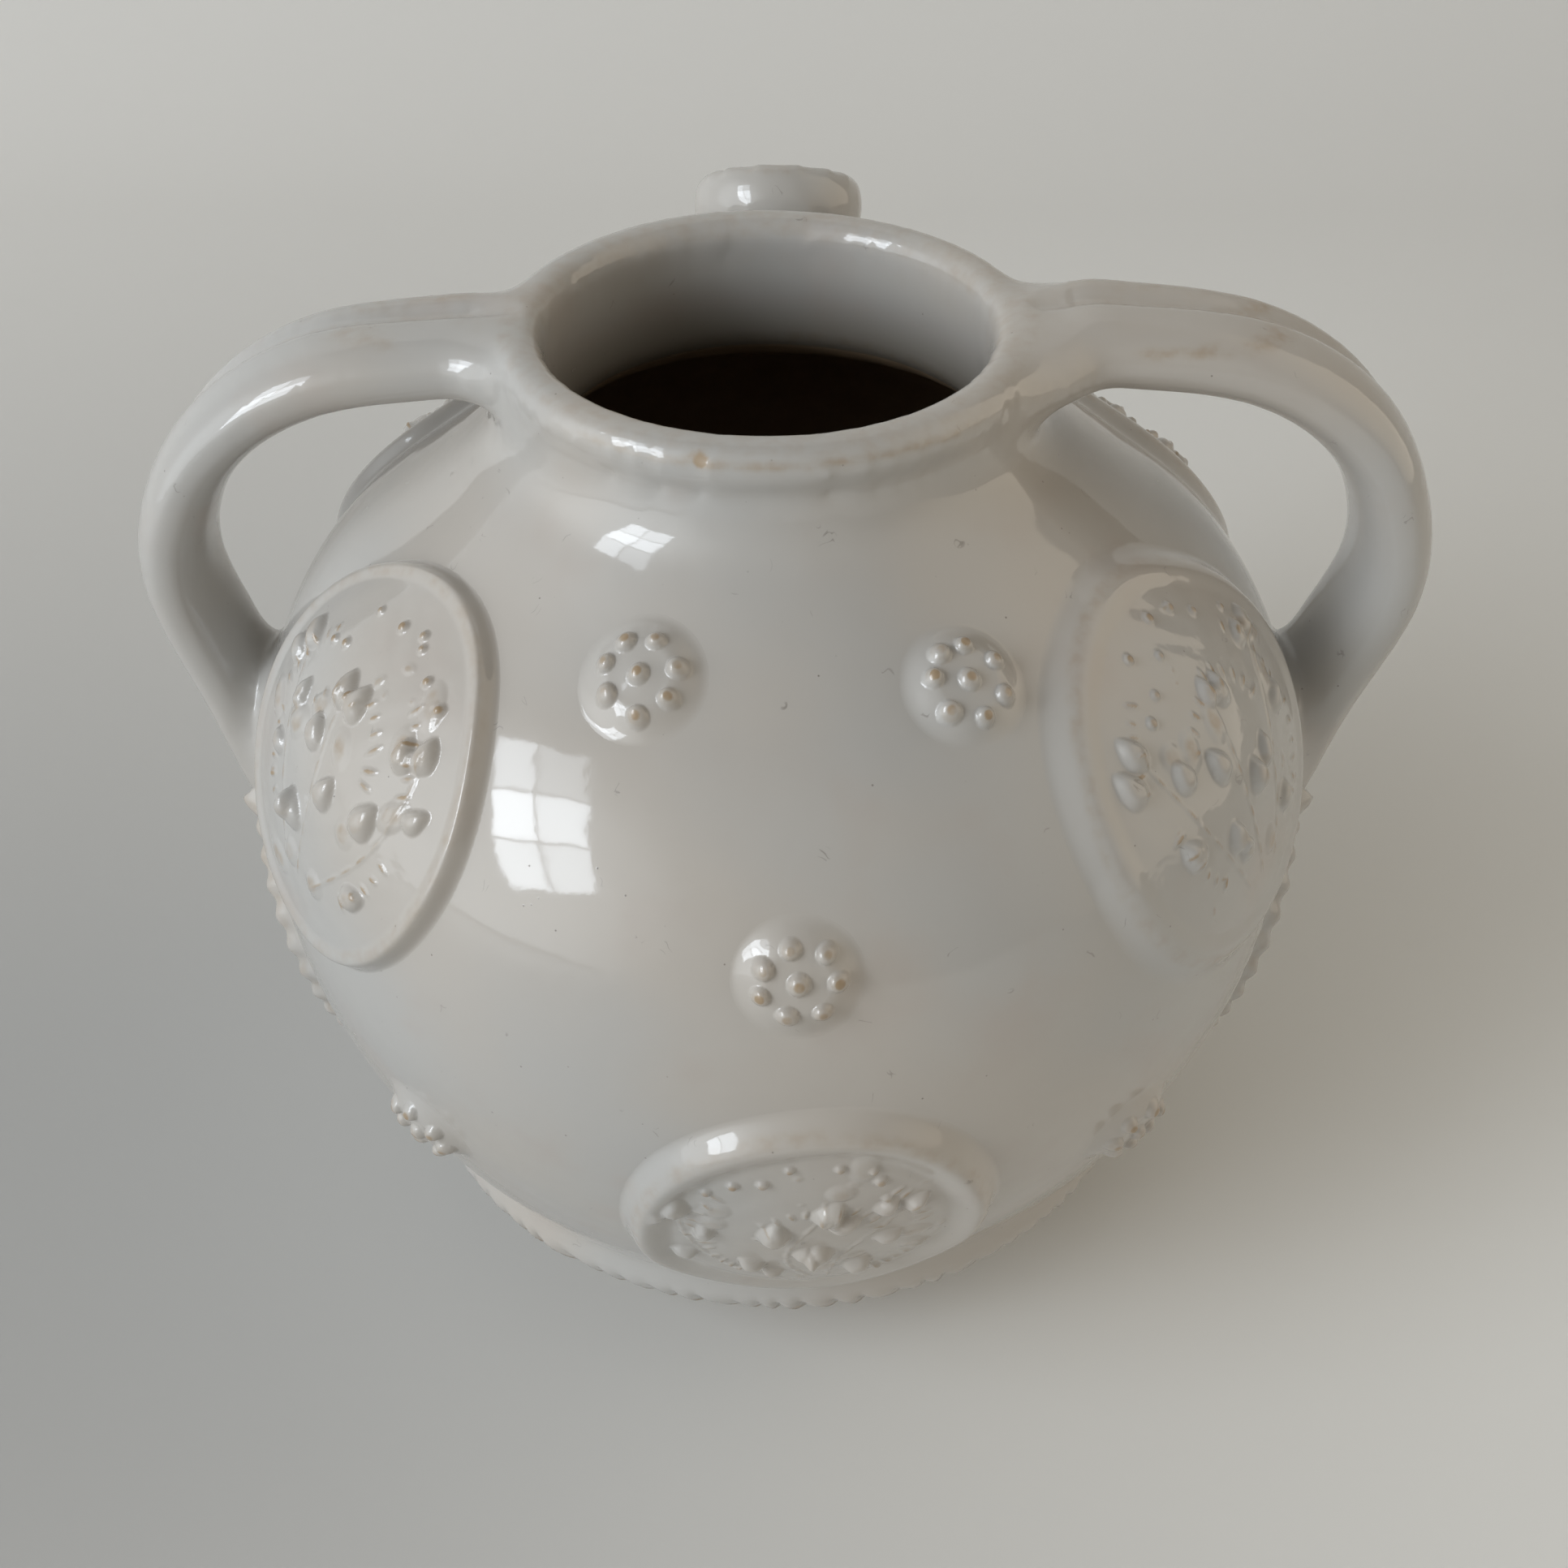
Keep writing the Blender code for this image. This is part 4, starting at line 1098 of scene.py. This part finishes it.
def makeBareClay():
    mat, tree, shader = startMaterial("bareClay")
    place = ownPlace(tree)
    drift = ramp(tree, noise(tree, place, 60.0, 4.0), 0.35, 0.65)
    grit = scatter(tree, place, 420.0, (0.10, 0.22), (0.6, 0.65))
    colour = blendColour(tree, grit, blendColour(tree, drift, clay["pale"], clay["deep"]), clay["grit"])
    tree.links.new(colour, shader.inputs["Base Color"])
    shader.inputs["Roughness"].default_value = clay["roughness"]
    relieve(tree, shader, clay["bump"], clay["bumpDistance"], noise(tree, place, 1400.0, 2.0))
    return mat


def dress(obj, mat, slot, *nodes):
    obj.data.materials.clear()
    obj.data.materials.append(mat)
    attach(obj, "root")
    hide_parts(*nodes)


# Making the pitcher

potGlaze = makeGlaze("glazePot", bareInside=True)
reliefGlaze = makeGlaze("glazeRelief")

pot = makePot()
markPot(pot)
potFaces = [tuple(face.vertices) for face in pot.data.polygons]
potTree = BVHTree.FromPolygons(readPoints(pot).tolist(), potFaces)
dress(pot, potGlaze, "glaze", "body_globe", "mouth_lip", "spout_tube", "spout_lip",
      "handle_left", "handle_right")

for index, (name, sizes) in enumerate(medallionPlaces.items()):
    dress(makeMedallion(name, *sizes, seed=3 + 7 * index), reliefGlaze, "glaze_over_relief", name)
print("medallions pressed on:", len(medallionPlaces))

for name, sizes in clusterPlaces.items():
    dress(makeCluster(name, *sizes), reliefGlaze, "glaze_over_relief", name)
print("bead clusters pressed on:", len(clusterPlaces))

dress(makeGirdle(), reliefGlaze, "glaze_over_relief", "girdle_band")
dress(makeFoot(), makeBareClay(), "bare_clay", "foot")
print("girdle and foot in place")


# Studio: a pale floor that turns up into a backdrop, with painted light on it, window light from the left,
# soft fill all round

studio = {
    "floorReach": 1.6,
    "backdropFrom": 0.5,
    "backdropHeight": 1.3,
    "backdropStep": 0.06,
    "floorTone": (0.44, 0.435, 0.42),
    # painted light on the floor: lighter to the right, towards the far end and outwards on the left, where
    # more light falls
    "paintedFloorLight": (
        ("X", 1.0, -0.22, 0.24, (0.87, 0.865, 0.835)),
        ("Y", 1.0, -0.1, 0.6, (0.72, 0.71, 0.685)),
        ("X", -1.0, 0.3, 0.9, (0.86, 0.86, 0.85)),
    ),
    # direction, colour and tightness of each soft light in the room, over its plain level
    "worldPlain": (0.03, 0.028, 0.025),
    "worldLights": (
        ((-0.97, -0.12, 0.12), (0.66, 0.66, 0.66), 0.2, 1.0),
        ((-0.84, -0.46, 0.26), (1.25, 1.33, 1.38), 0.74, 1.0),
        ((0.0, -0.97, 0.22), (0.26, 0.24, 0.205), 0.3, 1.0),
        ((0.93, 0.30, 0.16), (1.32, 1.19, 1.00), 0.38, 1.0),
    ),
    "windowRight": (0.700, -0.545, 0.461),
    "windowUp": (0.115, 0.640, 0.760),
    "windowAim": 0.12,
    "windowDistance": 1.5,
    "paneSize": (0.232, 0.33),
    "paneGap": 0.018,
    "paneRadiance": ((6.6, 8.8, 5.2), (5.4, 6.8, 2.6)),  # by column, from the sill up
    "windowColour": (0.93, 1.0, 1.08),
}
camera = {
    "place": (1.1 * mm, -314.5 * mm, 347.1 * mm),
    "pitch": 39.1,
    "focalPixels": 2458.0,
    "framePixels": 1932.0,
    "sensor": 36.0,
}


def makeFloor():
    bpy.ops.mesh.primitive_plane_add(size=2.0 * studio["floorReach"])
    floor = editNamed("studio_floor")
    bm = bmesh.from_edit_mesh(floor.data)
    for edge in bm.edges:
        edge.select = all(vert.co.y > 0 for vert in edge.verts)
    bm.select_flush_mode()
    bmesh.update_edit_mesh(floor.data)
    bpy.ops.transform.translate(value=(0, studio["backdropFrom"] - studio["floorReach"], 0))
    for step in range(8):
        turn = math.radians(90.0 * (step + 1) / 8)
        bpy.ops.mesh.extrude_region_move(TRANSFORM_OT_translate={
            "value": (0, studio["backdropStep"] * math.cos(turn), studio["backdropStep"] * math.sin(turn))})
    bpy.ops.mesh.extrude_region_move(TRANSFORM_OT_translate={"value": (0, 0, studio["backdropHeight"])})
    objectMode()
    bpy.ops.object.shade_smooth()
    mat, tree, shader = startMaterial("studioFloor")
    split = addNode(tree, "ShaderNodeSeparateXYZ", Vector=ownPlace(tree))
    colour = studio["floorTone"]
    # Painted light: the floor is made lighter towards the right, the far end and the far left, as if more
    # light fell there
    for axis, way, low, high, tone in studio["paintedFloorLight"]:
        share = ramp(tree, times(tree, split.outputs[axis], way), low, high)
        colour = blendColour(tree, share, colour, tone)
    tree.links.new(colour, shader.inputs["Base Color"])
    shader.inputs["Roughness"].default_value = 0.7
    floor.data.materials.append(mat)


def makeWindow():
    # A casement of panes, turned to face the pitcher
    middle = Vector((0, 0, studio["windowAim"]))
    right = Vector(studio["windowRight"]).normalized()
    toward = right.cross(Vector(studio["windowUp"])).normalized()
    facing = Matrix((right, toward.cross(right), toward)).transposed().to_quaternion()
    wide, tall = studio["paneSize"]
    for column, radiances in enumerate(studio["paneRadiance"]):
        for row, radiance in enumerate(radiances):
            x = (column - 0.5 * (len(studio["paneRadiance"]) - 1)) * (wide + studio["paneGap"])
            y = (row - 0.5 * (len(radiances) - 1)) * (tall + studio["paneGap"])
            bpy.ops.object.light_add(type="AREA")
            light = bpy.context.active_object
            light.name = "pane_%d_%d" % (column, row)
            light.data.shape = "RECTANGLE"
            light.data.size, light.data.size_y = wide, tall
            light.data.color = studio["windowColour"]
            light.data.energy = radiance * math.pi * wide * tall
            light.rotation_mode = "QUATERNION"
            light.rotation_quaternion = facing
            light.location = middle + toward * studio["windowDistance"] + facing @ Vector((x, y, 0))


def makeCamera():
    bpy.ops.object.camera_add(location=camera["place"], rotation=(math.radians(90.0 - camera["pitch"]), 0, 0))
    view = bpy.context.active_object
    view.data.sensor_width = camera["sensor"]
    view.data.lens = camera["sensor"] * camera["focalPixels"] / camera["framePixels"]
    view.data.clip_start = 0.01
    bpy.context.scene.camera = view


def makeWorld():
    # A pale room: a plain level, with broad soft light from its sides and front
    world = bpy.data.worlds.new("studioLight")
    world.use_nodes = True
    tree = world.node_tree
    way = tree.nodes.new("ShaderNodeTexCoord").outputs["Generated"]
    colour = studio["worldPlain"]
    for direction, glow, low, high in studio["worldLights"]:
        towards = tree.nodes.new("ShaderNodeVectorMath")
        towards.operation = "DOT_PRODUCT"
        tree.links.new(way, towards.inputs[0])
        towards.inputs[1].default_value = Vector(direction).normalized()
        colour = blendColour(tree, ramp(tree, towards.outputs["Value"], low, high), colour, glow, "ADD")
    tree.links.new(colour, tree.nodes["Background"].inputs["Color"])
    bpy.context.scene.world = world
    bpy.context.scene.view_settings.view_transform = "Standard"


makeFloor()
makeWindow()
makeCamera()
makeWorld()
print("studio ready")
